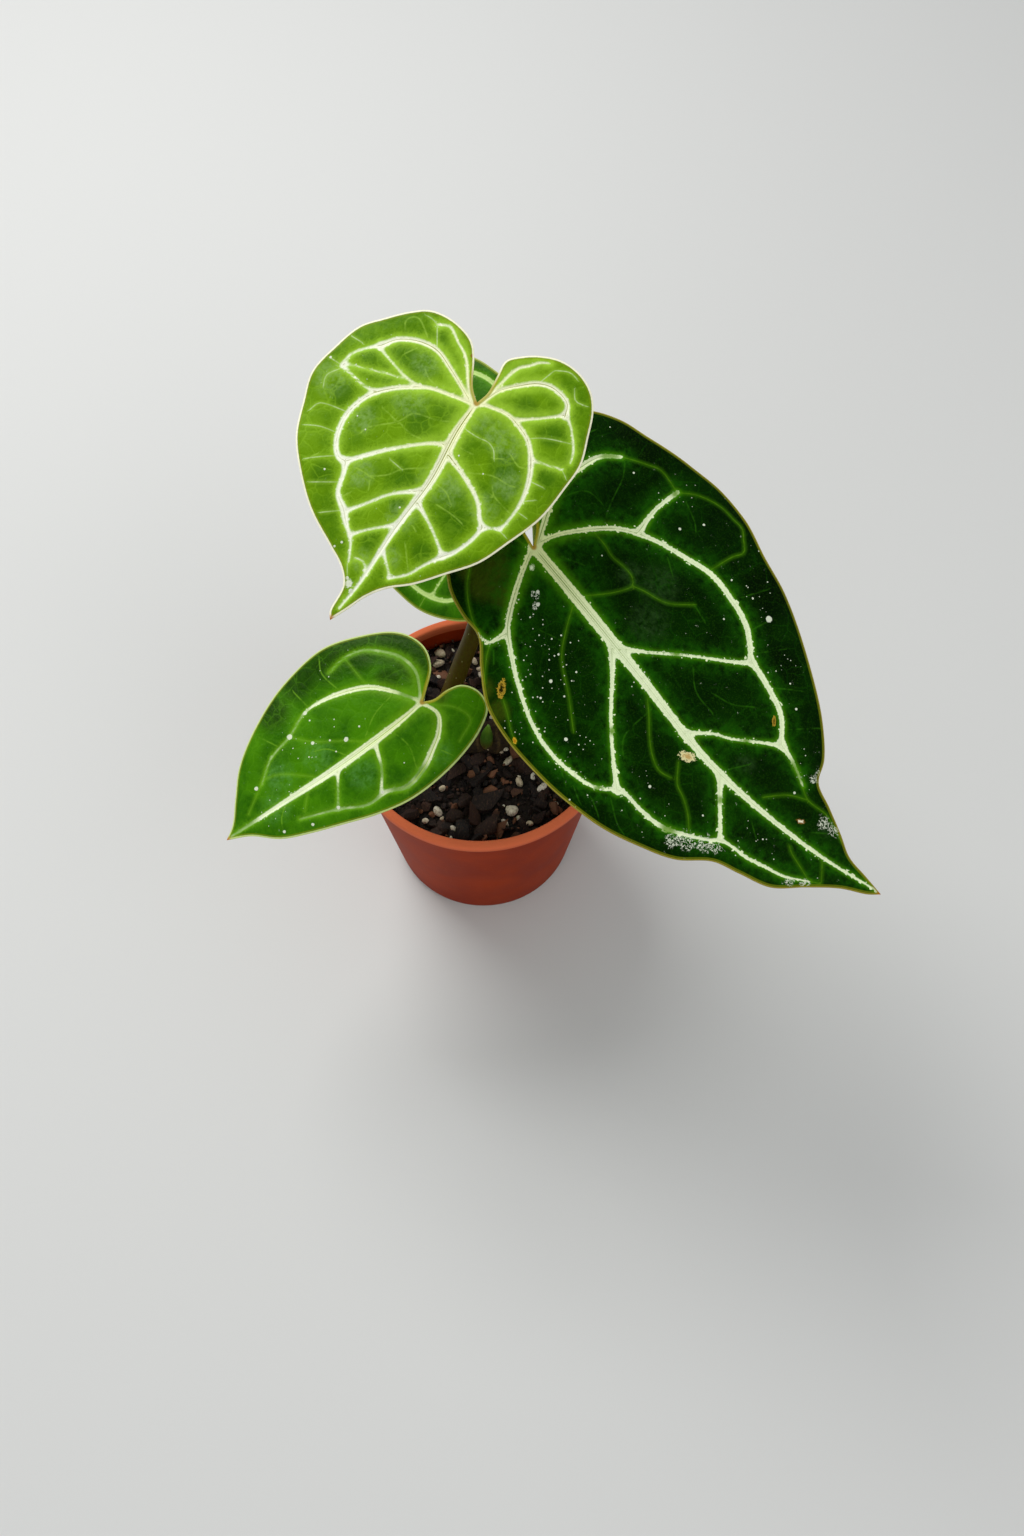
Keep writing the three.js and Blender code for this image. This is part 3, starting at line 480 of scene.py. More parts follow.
YOUNG = dict(
    name="young", slot="leaf_lime", at=(1.8, 23.7, 245.2), tipward=(-0.562, -0.755, -0.338),
    face=(-0.03, -0.39, 0.92), length=77, width=44, arch=3, rear=3, cross=(2.5, 2.5), wave=0.8,
    waves=5, keel=1.3, puff=0.4, web=0.5, steps=(44, 112, 58),
    halo=2.4, halo_strength=1.0, reach=6, reach_strength=0.4, soft=0.38, tooth=0.3, gloss=0.48,
    net_size=4.6, net_strength=0.45, twig_strength=0.5, twig_width=0.3, thread_strength=0.45,
    shine=0.14, hem=0.5,
    shine_tint="d4e8a4", deep="4c7a00", body="6a9604", glow="a8d43c", vein="fcffe8",
    fresh="f6f8b4", groove="8c920c", net="8cba24", twig="e2f2c0", thread="a4cc4c",
    margin="fbf7d8", sheen="90b468", dark="386800", under="94b254",
    midrib=[(2, 0), (10, 0), (26.5, 1.5), (43.5, 1), (63.5, 1), (76.5, 0)],
    halves=[
        ((-11, 16), 8.4, 11, [(0, 0), (-4, 1), (-9.5, 0.5), (-15, 0), (-18.5, 3), (-21.5, 7),
            (-24, 13), (-24, 19.5), (-21.5, 25.5), (-17, 29.5), (-10, 32.5), (-1.5, 35.5),
            (7, 35.5), (17.5, 34.5), (28.5, 31), (38.5, 27), (47, 20.5), (54.5, 14.5),
            (60, 8.5), (65, 5), (71, 2.5), (76.5, 0)]),
        ((-5, -21), 6.5, 9, [(0, 0), (-3, -3.5), (-11, -8.5), (-14.5, -12), (-16.5, -19.5),
            (-15.5, -27), (-12, -32), (-6.5, -37.5), (-0.5, -42.5), (9.5, -45), (19, -46.5),
            (27, -44), (37, -39.5), (45.5, -32), (53, -23), (58.5, -12.5), (62, -6), (66, -2.5),
            (74.5, -1.5), (76.5, 0)])],
    ribs=[
        ((0.6, 1.5, 1.3, 1.05, 0.75, 0.45, 0.25), [(0, 0), (10, 0), (26.5, 1.8), (43.5, 1),
            (63.5, 1.2), (72, 0.3)]),
        ((0.4, 0.4, 0.35, 0.25, 0.3, 0.25), [(0, -2), (-3.5, -5.5), (-9.5, -10.5), (-12, -15),
            (-14.5, -19.5), (-13, -23)]),
        ((0.5, 0.6, 0.65, 0.75, 0.7, 0.8), [(0.5, -2.5), (-4, -12), (-6.5, -18.5), (-6, -24.5),
            (-3, -30.5), (1, -33.5)]),
        ((0.7, 0.25, 0.25, 0.45), [(1, -33.5), (4.5, -37), (8.5, -39.5), (12.5, -39.5)]),
        ((0.3, 0.18, 0.2, 0.35), [(2, -33), (3, -30), (4, -26.5), (5, -22.5), (5.5, -17.5)]),
        ((0.4, 0.25, 0.25, 0.4), [(12.5, -39.5), (13.5, -34), (14, -30.5), (13.5, -26.5)]),
        ((0.45, 0.5, 0.5, 0.62, 0.7, 0.7, 0.75, 0.7, 0.85), [(1, -1), (2.5, -8), (4, -14),
            (7, -19), (10.5, -23.5), (15, -27.5), (21.5, -30), (27, -30), (32.5, -28),
            (35.5, -25), (35.5, -22.5)]),
        ((0.85, 0.6, 0.55, 0.9, 0.9, 0.35, 0.25, 0.15), [(35.5, -22.5), (38.5, -21),
            (44.5, -19), (47.5, -15), (50.5, -12), (54, -8), (59.5, -5)]),
        ((0.6, 0.4, 0.42, 0.6, 0.6), [(15, 0), (17.5, -4.5), (23.5, -11.5), (28, -16),
            (35.5, -22.5)]),
        ((0.7, 0.32, 0.28, 0.5), [(31, 0.5), (36.5, -6), (43.5, -11), (47.5, -14)]),
        ((0.6, 0.25, 0.22, 0.45), [(43, 0.5), (48, -5), (52.5, -9)]),
        ((0.4, 0.5, 0.6, 0.72, 0.7, 0.65, 0.7), [(0, 1), (-6.5, 3.5), (-11, 7.5), (-14.5, 11.5),
            (-16, 16), (-14.5, 22), (-11, 23.5)]),
        ((0.3, 0.25, 0.4, 0.35, 0.3, 0.15), [(-3.5, 1.6), (-8, 2.5), (-13, 3.5), (-15.5, 4.5),
            (-17.5, 6.5), (-20, 8.5), (-21.5, 11)]),
        ((0.45, 0.5, 0.6, 0.65, 0.65, 0.75, 0.65, 0.5, 0.3, 0.3), [(-0.5, 1.5), (-2, 9.5),
            (-1, 14), (1, 18.5), (4.5, 22), (9.5, 25), (16.5, 27), (24, 27), (27, 26.5)]),
        ((0.5, 0.28, 0.28, 0.4), [(-2.5, 13), (-6.5, 18), (-11.5, 23.5)]),
        ((0.35, 0.2, 0.2, 0.25, 0.12), [(-11.5, 23.5), (-10, 26), (-7.5, 28.5), (-3.5, 31.5),
            (-0.5, 32.5)]),
        ((0.3, 0.17, 0.2), [(5, 23), (4, 27), (2.5, 31.5)]),
        ((0.9, 0.6, 0.55, 0.5, 0.6), [(17.5, 2), (20.5, 10), (24, 16.5), (28, 20), (29.5, 22)]),
        ((0.5, 0.22, 0.3), [(29.5, 22), (27, 26.5)]),
        ((0.5, 0.45, 0.5, 0.75), [(29.5, 22), (34, 21.5), (40.5, 19), (43, 17)]),
        ((0.8, 0.33, 0.25, 0.4), [(34, 2), (37.5, 9), (41.5, 15), (42.5, 16.5)]),
        ((0.6, 0.3, 0.25, 0.25, 0.15), [(43, 17), (48, 14), (53, 11.5), (57, 7.5)]),
        ((0.45, 0.2, 0.2), [(51.5, 2), (55, 6), (56.5, 7.5)]),
        ((0.12, 0.02, 0.14, 0.0), [(11.5, -39.5), (9.5, -33.5), (7, -26), (6, -22.5)]),
        ((0.1, 0.12, 0.06), [(57.5, -4), (57, -2), (57.5, -0.5), (59, 0.5)])],
    twigs=[
        [(-13, -23), (-7, -19)], [(-12.5, -22.5), (-13.5, -24.5), (-13.5, -27)],
        [(23, -30), (24.5, -37.5), (25.5, -39.5), (28.5, -40.5)],
        [(30, -30.5), (31, -35), (33, -39)], [(35.5, -25.5), (38.5, -29.5), (41.5, -33)],
        [(13.5, -39.5), (17.5, -42), (20.5, -41)], [(12.5, -40), (12.5, -44)],
        [(3.5, -38.5), (3.5, -42.5)], [(42, -21), (46.5, -28)], [(48, -15), (52, -20)],
        [(60, -5), (63, -3)], [(-15.5, 12), (-20.5, 13.5)],
        [(-20.5, 13.5), (-22.5, 17.5), (-22, 20.5)], [(0.5, 18.5), (-2, 22), (-5.5, 30)],
        [(2.5, 31.5), (4, 34)], [(10.5, 26.5), (10, 30)], [(16, 28), (14.5, 30)],
        [(8.5, 2), (8.5, 6), (8, 9.5), (9, 12), (11, 13.5)], [(27.5, 26.5), (28, 29)],
        [(20, 28.5), (20, 30.5)], [(-19, 21.5), (-16.5, 23.5), (-17, 27)],
        [(28, -11.5), (28.5, -7.5)], [(66, -2.4), (64.5, 0.8)]],
    threads=[
        [(-5.5, -29), (-7, -30.5), (-9, -31.5), (-11, -30.5), (-11.5, -28.5), (-8.5, -23.5)],
        [(-0.5, -26), (-4, -24)], [(0.5, -18), (2, -15.5), (2.5, -12)],
        [(16.5, -22), (17.5, -17)],
        [(8.5, -2), (11, -7), (13, -13.5), (17.5, -16), (22, -21), (24.5, -23), (26, -23.5)],
        [(17.5, -15.5), (18.5, -10), (18, -8)], [(11, 13.5), (9.5, 16)],
        [(14, 1.5), (13.5, 7.5)], [(19, 9), (15.5, 16), (15, 21.5), (13.5, 25.5)],
        [(7.5, 17), (9, 21), (8, 23)], [(18.5, 18), (20, 19.5), (21.5, 25.5)],
        [(23, 16), (20.5, 19.5)], [(35.5, -18.5), (35.5, -14), (38.5, -12)],
        [(35.5, -14), (32, -9.5), (29, -7.5), (24, -1)], [(45, -17.5), (42.5, -16)],
        [(26.5, 2.5), (27, 7.5), (29, 10.5)], [(31.5, 5), (31.5, 13.5), (32, 16.5)],
        [(46, 6), (52.5, 11.5)], [(40.5, 5), (41.5, 7)], [(38, -30.5), (42, -33)]],
    patches=dict(
        fading=[(73, 0, 3), (-16, -20, 2)],
        crust=[(64.6, -1.3, 1.3), (66, -2, 0.8), (66.5, 0.6, 0.8)],
        dusty=[(12, -34, 4)],
        aged=[],
        painted_sheen=[(9.5, -17, 5), (22.5, -25.5, 4), (5, 14.5, 5), (4, 3, 4), (5, 10.5, 4),
            (15, 21, 4), (25, 19, 4), (25.5, 7, 5), (26, 2, 4), (40, 0.5, 4), (17, -40, 5),
            (36, -17, 4), (57, -2, 3), (-1.5, -19, 4), (52, 4.5, 3)],
        shade=[(1, -27, 5), (3, -18.5, 3.5), (7, -6.5, 4), (-9.5, -20, 2.5), (6, -34, 3),
            (19.5, -34.5, 4), (15, -10, 4), (-6.5, 13, 3.5), (11, 17, 4), (7, 29.5, 3),
            (-4, 23.5, 3.5), (31, -4, 3.5), (38, -1, 3), (51, -3, 3), (32.5, 14.5, 4),
            (45.5, 11.5, 3), (42.5, -26, 3.5)]),
    spots=[(12.3, -43.9, 0.45), (38.1, -1.3, 0.35), (55.9, -9.8, 0.45), (40.9, -26.2, 0.35),
        (16, 4.5, 0.3), (58, -11, 0.4), (24.6, -22.8, 0.3), (64.7, -1.3, 1.15),
        (66.1, 0.4, 0.7), (63.6, -2.6, 0.6)],
    blemishes=[
        (-11, -8.7, -60, 1.1, 0.5, "8a5a28", "a06a30")])

GREEN = dict(
    wave=1, waves=4, keel=1.4, slot="leaf_green", puff=0.4, web=0.6, halo=2.0,
    halo_strength=0.8, reach=5, reach_strength=0.3, soft=0.26, tooth=0.3, net_size=5.5,
    net_strength=0.35, twig_strength=0.6, twig_width=0.34, thread_strength=0.7, shine=0.15,
    shine_tint="c0e090")

LOW = dict(
    GREEN, name="low", at=(-17.7, -23.8, 151.7), tipward=(-0.816, -0.465, -0.343),
    face=(-0.22, -0.3, 0.928), length=83, width=36, arch=4, rear=3, cross=(3, 9),
    steps=(36, 110, 50),
    gloss=0.42, hem=0.5,
    deep="265e00", body="417e00", glow="78b016", vein="f6ffd6", fresh="e8f2b0", groove="b4cf5a",
    net="5a9814", twig="689e26", thread="6ca020", margin="c8da86", sheen="5c9644",
    dark="082800", under="7a9c50",
    midrib=[(2, 0), (10.5, 1), (34, 1.5), (60, 0), (83, -1.5)],
    halves=[
        ((-7, 11), 5.8, 7, [(0, 0), (-3.5, 1.5), (-9, 1.5), (-14, 3), (-17.5, 8), (-17, 14),
            (-11, 18.5), (-1.5, 22), (10, 24), (22.5, 24), (35, 21.5), (45.5, 18), (56.5, 14),
            (66.5, 9.5), (75, 2.5), (83, -1.5)]),
        ((-3, -15), 4.6, 6, [(0, 0), (-3.5, -3), (-8.5, -8), (-10.5, -14.5), (-9, -21),
            (-4, -27.5), (7, -33.5), (21, -37.5), (37.5, -36), (53.5, -28.5), (66, -20),
            (73, -11.5), (78.5, -4.5), (83, -1.5)])],
    ribs=[
        ((0.6, 1.3, 1.4, 1.1, 0.7, 0.3), [(0, 0), (10.5, 1), (34, 1.5), (60.5, 0), (81, -1.5)]),
        ((0.4, 0.6, 0.9, 0.8, 0.4, 0.3, 0.3, 0.2), [(0.6, -0.8), (6.5, -9), (13, -15.5),
            (26.5, -21), (36, -22), (45, -18), (54.5, -15.5), (62, -10)]),
        ((0.4, 0.5, 0.4, 0.3, 0.2), [(0.2, -0.8), (-3.5, -10), (-2, -17.5), (2, -23), (8, -28),
            (14.5, -29.5), (21.5, -28.5)]),
        ((0.4, 0.8, 1.0, 0.6, 0.35, 0.3, 0.2), [(0, 0.8), (-2, 6.5), (1, 11.5), (6, 15),
            (12.5, 18.5), (20.5, 20), (27, 17.5), (34.5, 17.5), (44, 13), (57, 8)]),
        ((0.6, 0.35, 0.4), [(21.5, 3.5), (24, 10.5), (28.5, 16.5)]),
        ((0.5, 0.25, 0.35), [(37, 2.5), (44, 13)])],
    twigs=[
        [(24, -0.5), (29, -4.5), (38.5, -11), (45, -17.5)], [(14.5, -29.5), (13, -16.5)],
        [(62, -10), (71.5, -4)], [(48, 0.5), (54, 7)], [(45, -1), (55, -9), (61, -11)],
        [(0, 1.5), (-8, 8), (-10, 14), (-3, 18)]],
    threads=[
        [(8, -8), (16, -6), (22, -2)], [(22, -21), (24, -30), (22, -35)],
        [(34, -22), (36, -31)], [(14, 2), (12, 10), (14, 17)], [(56, -0.5), (62, 4), (64, 8)],
        [(50, -17), (54, -24)], [(5, 15), (2, 20)], [(20, 20), (22, 23)],
        [(30, 2), (36, -6), (40, -8)]],
    patches=dict(
        fading=[(-3, -8, 7), (0, -20, 7), (8, -28, 6), (17, -29, 6), (4, -5, 3), (41, -20, 4.5),
            (50, -16, 5), (58, -12, 6), (14, 19, 3.5), (22, 20, 5), (35, 17, 6), (45, 12, 6),
            (55, 8, 6), (24, 11, 3), (41, 8, 3), (76, -1, 6)],
        crust=[],
        dusty=[(40, -12, 8), (60, 0, 8)],
        aged=[(-6, 2, 3)],
        painted_sheen=[(40, -6, 5), (55, -8, 5), (30, 8, 5), (5, 17, 4), (62, 0, 5)],
        shade=[(-5, -14, 8), (-3, -24, 9), (8, -31, 10), (20, -34, 9), (32, -34, 8),
            (46, -29, 6), (6, -13, 5)]),
    spots=[(64.4, -9.8, 0.8), (68.6, -0.3, 0.7), (36.3, -21.7, 0.8), (45.1, -17.8, 1.1),
        (28.7, -4.8, 0.9), (54.2, 12.2, 0.6), (63.9, 8.4, 0.6), (33.8, -3.4, 0.35),
        (39.2, -10.9, 0.7), (43.7, 12.6, 0.7), (28.3, 16.9, 0.7), (22.5, -5.8, 0.4)],
    blemishes=[])

BACK = dict(
    GREEN, name="back", at=(5.3, 41.7, 181.4), tipward=(-0.929, 0.28, -0.242),
    face=(-0.33, -0.33, 0.885), length=72, width=46, arch=3, rear=2, cross=(3, 3),
    steps=(36, 90, 54),
    gloss=0.44, hem=0.45,
    deep="1e5000", body="367000", glow="629c0c", vein="c4e088", fresh="b8d878", groove="98b850",
    net="4e8a14", twig="86b040", thread="5e941c", margin="a8b25a", sheen="4c7c3c",
    dark="0a3000", under="76964e",
    midrib=[(2, 0), (20, 0.5), (45, 1), (72, 0)],
    halves=[
        ((-5, 22), 5.4, 7, [(0, 0), (-5, 3.5), (-11, 9), (-15.5, 17), (-16, 27), (-12, 36),
            (-7, 42), (2, 45.5), (11, 45.5), (21, 43), (30, 37.5), (41, 29), (51, 19.5),
            (59, 10.5), (65, 4.5), (72, 0)]),
        ((-4, -19), 5.2, 7, [(0, 0), (-5, -3.5), (-11, -9), (-15, -17), (-14, -25), (-9, -31),
            (-4, -35), (2, -38), (14, -44.5), (26, -47.5), (37, -43), (47, -34), (55, -22),
            (62, -10.5), (67, -4), (72, 0)])],
    ribs=[
        ((0.7, 1.3, 1.2, 0.8, 0.3), [(0, 0), (20, 0.5), (45, 1), (70, 0)]),
        ((0.5, 0.7, 0.7, 0.7, 0.5, 0.3), [(0.5, 0.8), (-3, 14), (-1, 30), (8, 39), (18, 38),
            (30, 31), (42, 21), (53, 11)]),
        ((0.5, 0.7, 0.7, 0.7, 0.5, 0.3), [(0.5, -0.8), (-3, -12), (-1, -26), (7, -36.5),
            (20, -40), (34, -34), (46, -23), (56, -11)]),
        ((0.5, 0.6, 0.5, 0.3), [(0.5, 1), (3, 13), (9, 25), (16, 38)]),
        ((0.5, 0.6, 0.5, 0.3), [(0.5, -1), (5, -14), (12, -27), (18, -40)]),
        ((0.8, 0.45, 0.5), [(22, 0.5), (33, 16), (38, 25)]),
        ((0.8, 0.45, 0.5), [(24, 0.5), (35, -16), (41, -28)])],
    twigs=[
        [(40, 1), (48, 8), (51, 13)], [(42, 1), (49, -8), (53, -15)], [(-1, 30), (-8, 33)],
        [(7, -36.5), (4, -39)], [(20, -40), (24, -45)], [(18, 38), (20, 42)]],
    threads=[
        [(10, 0), (16, 10), (14, 22)], [(12, 0), (20, -12), (18, -24)], [(30, 31), (34, 34)],
        [(34, -34), (38, -39)], [(56, 1), (60, 5)]],
    patches=dict(
        fading=[(-1, -26, 6), (53, 11, 5), (56, -11, 5)],
        crust=[],
        dusty=[(30, 10, 8)],
        aged=[],
        painted_sheen=[(12, 12, 7), (30, -12, 7), (45, 12, 5)],
        shade=[(20, -42, 8), (36, -36, 8)]),
    spots=[],
    blemishes=[])

# A blade's thickness and relief
BLADE = 0.8
GROOVE_DEPTH, GROOVE_WIDTH = 0.28, 0.6
KEEL_WIDTH = 1.7
SIDE_RIB_HEIGHT, SIDE_RIB_WIDTH = 0.75, 0.9
TWIG_HEIGHT, TWIG_WIDTH = 0.25, 0.7
PUFF_RISE, TWIG_PUFF_RISE = 2.6, 1.4  # how fast the tissue swells away from veins
EDGE_TAPER, PUFF_INSET, RIB_INSET = 1.6, 4, 3  # how far in from the margin each begins

# Its white specks
DUST_SPACINGS = (2.6, 1.5)


def leaf_axes(leaf):
    normal = unit(np.array(leaf["face"]))
    tipward = np.array(leaf["tipward"])
    tipward = unit(tipward - normal * tipward.dot(normal))
    return np.array(leaf["at"]), tipward, np.cross(normal, tipward), normal


def on_blade(leaf, u, v, offset):
    """The plant's millimetres of points on a blade, offset along its face."""
    along, out = u / leaf["length"], v / leaf["width"]
    droop = np.where(along > 0, leaf["arch"], leaf["rear"]) * along ** 2
    fold = np.where(v < 0, *leaf["cross"]) * out ** 2
    phase = np.where(v < 0, -0.8, 0.8)
    ripple = leaf["wave"] * out ** 2 * np.sin(math.pi * leaf["waves"] * along + phase)
    at, tipward, across, normal = leaf_axes(leaf)
    lift = ripple - droop - fold + offset
    return at + np.outer(u, tipward) + np.outer(v, across) + np.outer(lift, normal)


def nearest(places, line):
    """Distance from each place to a line, negative on its right, and how far along it is."""
    best = np.full(len(places), np.inf)
    side = np.zeros(len(places))
    along = np.zeros(len(places))
    for i, (a, b) in enumerate(zip(line[:-1], line[1:])):
        step, away = b - a, places - a
        part = np.clip(away @ step / step.dot(step), 0, 1)
        miss = away - np.outer(part, step)
        gap = np.einsum("ij,ij->i", miss, miss)
        closer = gap < best
        best[closer] = gap[closer]
        side[closer] = step[0] * away[closer, 1] - step[1] * away[closer, 0]
        along[closer] = (i + part[closer]) / (len(line) - 1)
    return np.sqrt(best) * np.where(side < 0, -1, 1), along


def nearest_of(places, lines, widths=(), web=0.0):
    """The same for the closest of several lines, beyond each one's half widths. A web
    fills the corners where lines meet."""
    closest, signed = np.full((2, len(places)), 99.0)
    joined = np.zeros(len(places))
    for line, width in itertools.zip_longest(lines, widths, fillvalue=(0, 0)):
        count = max(3, int(np.abs(np.diff(line, axis=0)).sum() / 1.5))
        gap, along = nearest(places, curve(line, count))
        beyond = np.abs(gap) - np.interp(along, np.linspace(0, 1, len(width)), width)
        closer = beyond < closest
        closest[closer] = beyond[closer]
        signed[closer] = gap[closer]
        if web:
            joined += np.exp(-beyond / web)
    if web:
        closest = np.maximum(-web * np.log(np.maximum(joined, 1e-30)), closest - 1.1)
    return closest, signed


def patched(places, patches):
    """From 0 to 1 by how much soft round patches cover each place."""
    cover = np.zeros(len(places))
    for u, v, radius in patches:
        away = np.hypot(places[:, 0] - u, places[:, 1] - v) / radius
        cover = np.maximum(cover, np.clip(1.5 - away, 0, 1))
    return cover * cover * (3 - 2 * cover)


def half_plan(leaf, half, column, row):
    """Places on one half of a blade: rows from its spine, columns out to its margin."""
    core, back, level, margin = half
    lobe, side, across = leaf["steps"]
    last = len(margin) - 1
    edge = np.vstack([
        curve(margin, lobe, 0, back / last),
        curve(margin, lobe, back / last, level / last)[1:],
        curve(margin, side, level / last, 1)[1:]])
    joint = np.array(leaf["midrib"][0], float)
    out = 1 - np.abs(np.arange(2 * lobe + 1) - lobe) / lobe
    spine = np.vstack([joint + np.outer(out, core - joint), curve(leaf["midrib"], side)[1:]])
    part = (column / across)[:, None]
    flat = spine[row] * (1 - part) + edge[row] * part
    return np.column_stack([flat, np.zeros(len(flat))]) * MM


def swell(distance, width):
    """1 on a line, fading within about a width of it."""
    return np.exp(-(distance / width) ** 2)


def make_leaf(leaf):
    lobe, side, across = leaf["steps"]
    halves = [
        sheet(f"{leaf['name']}_leaf", across, 2 * lobe + side,
              lambda column, row, half=half: half_plan(leaf, half, column, row))
        for half in leaf["halves"]]
    pick(*halves)
    bpy.ops.object.join()
    piece = halves[0]
    close_up(piece)
    if piece.data.polygons[0].normal.z < 0:
        with editing(piece):
            bpy.ops.mesh.flip_normals()
    add_modifier(piece, "SOLIDIFY", thickness=BLADE * MM, offset=-1)

    mesh = piece.data
    flat = read_points(mesh) / MM
    places, top = flat[:, :2], flat[:, 2] > -BLADE / 2
    widths, ribs = zip(*leaf["ribs"])
    rib, rib_line = nearest_of(places, ribs, widths, leaf["web"])
    twig, twig_line = nearest_of(places, leaf["twigs"])
    thread, thread_line = nearest_of(places, leaf["threads"])
    edge, _ = nearest_of(places, [half[-1] for half in leaf["halves"]])
    keel, along = nearest(places, curve(ribs[0], 60))

    half_thick = BLADE / 2 * (0.4 + 0.6 * np.clip(edge / EDGE_TAPER, 0, 1) ** 0.5)
    free = 1 - np.exp(-np.maximum(rib, 0) / PUFF_RISE)
    twig_free = 1 - np.exp(-twig / TWIG_PUFF_RISE)
    swelling = (0.55 + 0.45 * twig_free) * np.clip(edge / PUFF_INSET, 0, 1)
    puff = leaf["puff"] * free * swelling
    inward = np.clip(edge / RIB_INSET, 0, 1)
    upper = half_thick + puff - GROOVE_DEPTH * swell(rib_line, GROOVE_WIDTH) * inward
    relief = np.maximum.reduce([
        leaf["keel"] * (1 - 0.85 * along) * swell(keel, KEEL_WIDTH),
        SIDE_RIB_HEIGHT * swell(rib_line, SIDE_RIB_WIDTH) * inward,
        TWIG_HEIGHT * swell(twig_line, TWIG_WIDTH)])
    lower = half_thick + relief - 0.5 * puff
    offset = np.where(top, upper, -lower)
    write_points(mesh, on_blade(leaf, *places.T, offset) * MM)
    store(mesh, "plan", np.column_stack([places, np.where(top, 1, -1)]))
    measures = dict(rib=rib, rib_line=rib_line, twig=twig, twig_line=twig_line, thread=thread,
                    thread_line=thread_line, edge=edge)
    for name, patches in leaf["patches"].items():
        measures[name] = patched(places, patches)
    for name, values in measures.items():
        store(mesh, name, values)
    finish_piece(piece, leaf_finish(leaf), leaf["slot"], f"blade_{leaf['name']}")


def leaf_finish(leaf):
    finish = Finish(
        f"{leaf['name']} leaf", specular_ior_level=leaf["shine"],
        specular_tint=leaf["shine_tint"])
    rib, rib_line, twig, twig_line, thread, thread_line, edge = map(finish.attribute, (
        "rib", "rib_line", "twig", "twig_line", "thread", "thread_line", "edge"))
    fading, crust, dusty, aged, painted_sheen, shade = map(
        finish.attribute, ("fading", "crust", "dusty", "aged", "painted_sheen", "shade"))
    plan = finish.attribute_place("plan")
    upper = finish.parts(plan)[2].rising(-0.3, 0.3)
    joint = finish.from_point(plan, (0.3, 0, 1))

    wandering = finish.warped(plan, 4, 2.6)
    net = finish.seams(wandering, leaf["net_size"])
    fine_net = finish.seams(wandering, leaf["net_size"] / 3.6)
    broad = finish.noise(plan, 15, 2).rising(0.36, 0.66)
    mottle = finish.noise(plan, 2.6, 4, 0.6)
    grain = finish.noise(plan, 0.42, 2)
    ragged = finish.noise(plan, 0.9, 1.5, 0.6)
    thorn = finish.noise(plan, 1.3, 1, 0.5).rising(0.6, 0.74) * leaf["tooth"]
    sheen_cover = painted_sheen * finish.noise(plan, 1.7, 4, 0.65).rising(0.3, 0.75)
    streaks = finish.noise(finish.stretched(plan, (1, 0.3, 1)), 0.8, 3, 0.6)

    # Tissue: green that lightens beside the veins, with a fine net and thin veins
    spread = rib * (0.4 + joint.rising(4, 50) * 0.75)
    wide = spread.falling(0, leaf["reach"])
    near = spread.falling(-0.3, leaf["halo"])
    feather = fine_net.falling(0.02, 0.2) * rib.falling(0.4, leaf["halo"] * 1.4)
    lines = (net.falling(0.02, 0.3) * (0.15 + 0.6 * broad)).larger(feather)
    faint = abs(thread_line).falling(0.05, 0.4) * thread.falling(0.5, 1.3)
    clear = abs(twig_line).falling(0, leaf["twig_width"]) * twig.falling(0.5, 1.3)
    clear = clear * (0.35 + ragged * 0.9) * (0.55 + mottle.rising(0.38, 0.6) * 0.6)
    tissue = finish.coats(
        leaf["deep"],
        (broad, leaf["body"]),
        (mottle.rising(0.35, 0.75) * 0.5, leaf["body"]),
        # Painted shade: darker green, in the colour dark, where the blade lies in the shade of
        # other leaves.
        (shade * (0.5 + mottle * 0.6), leaf["dark"]),
        # Painted sheen: grey-green patches of reflected light on the tissue.
        (sheen_cover * 0.6, leaf["sheen"]),
        (aged * (0.3 + streaks * 0.7), "3c4a0a"),
        (wide * wide * mottle.rising(0.25, 0.75) * leaf["reach_strength"], leaf["net"]),
        (near * near * (0.5 + mottle * 0.8) * leaf["halo_strength"], leaf["glow"]),
        (twig.falling(0, 1.3) * 0.3, leaf["glow"]),
        (lines * leaf["net_strength"], leaf["net"]),
        ((grain - 0.5) * 0.35, leaf["glow"]),
        (faint * mottle.rising(0.3, 0.6) * leaf["thread_strength"], leaf["thread"]),
        (clear * leaf["twig_strength"], leaf["twig"]))

    # Veins: ragged sides, grooves along the stout ones, green where they fade
    wavering = rib + (ragged - 0.5) * leaf["tooth"] - thorn
    pale = wavering.falling(-leaf["soft"], leaf["soft"])
    inside = rib.falling(-0.75, -0.3)
    grooves = abs(rib_line).falling(0.03, 0.24).larger(
        abs(abs(rib_line) - 0.62).falling(0.04, 0.2) * 0.5)
    grooves = grooves * inside * (0.25 + joint.falling(12, 60) * 0.7) * joint.rising(0.8, 4)
    vein = finish.coats(
        leaf["vein"],
        (joint.falling(0, 45) * 0.7, leaf["fresh"]),
        (fading * (0.6 + mottle * 0.5), leaf["twig"]),
        (grooves, leaf["groove"]),
        ((grain - 0.45) * 0.3, leaf["glow"]))

    # White: lime crust, dust and single specks
    curls = abs(finish.noise(finish.warped(plan, 1.1, 1.3), 1.1, 2) - 0.5).falling(0.015, 0.05)
    chalk = (finish.noise(plan, 1.6, 3, 0.7) + crust * 0.42).rising(0.66, 0.84)
    white = chalk * curls.larger(ragged.rising(0.58, 0.68) * 0.8)
    for spacing in DUST_SPACINGS:
        dots, drawn = finish.cells(plan, spacing)
        chance, size, _ = finish.parts(drawn)
        present = (chance + dusty * 0.55).worked("GREATER_THAN", 0.985)
        white = white.larger((dots - size * size * 0.1 * spacing).falling(0.07, 0.17) * present)
    wobble = (ragged - 0.5) * 0.5
    for u, v, radius in leaf["spots"]:
        away = finish.from_point(plan, (u, v, 1)) + wobble * radius
        white = white.larger(away.falling(radius * 0.75, radius))

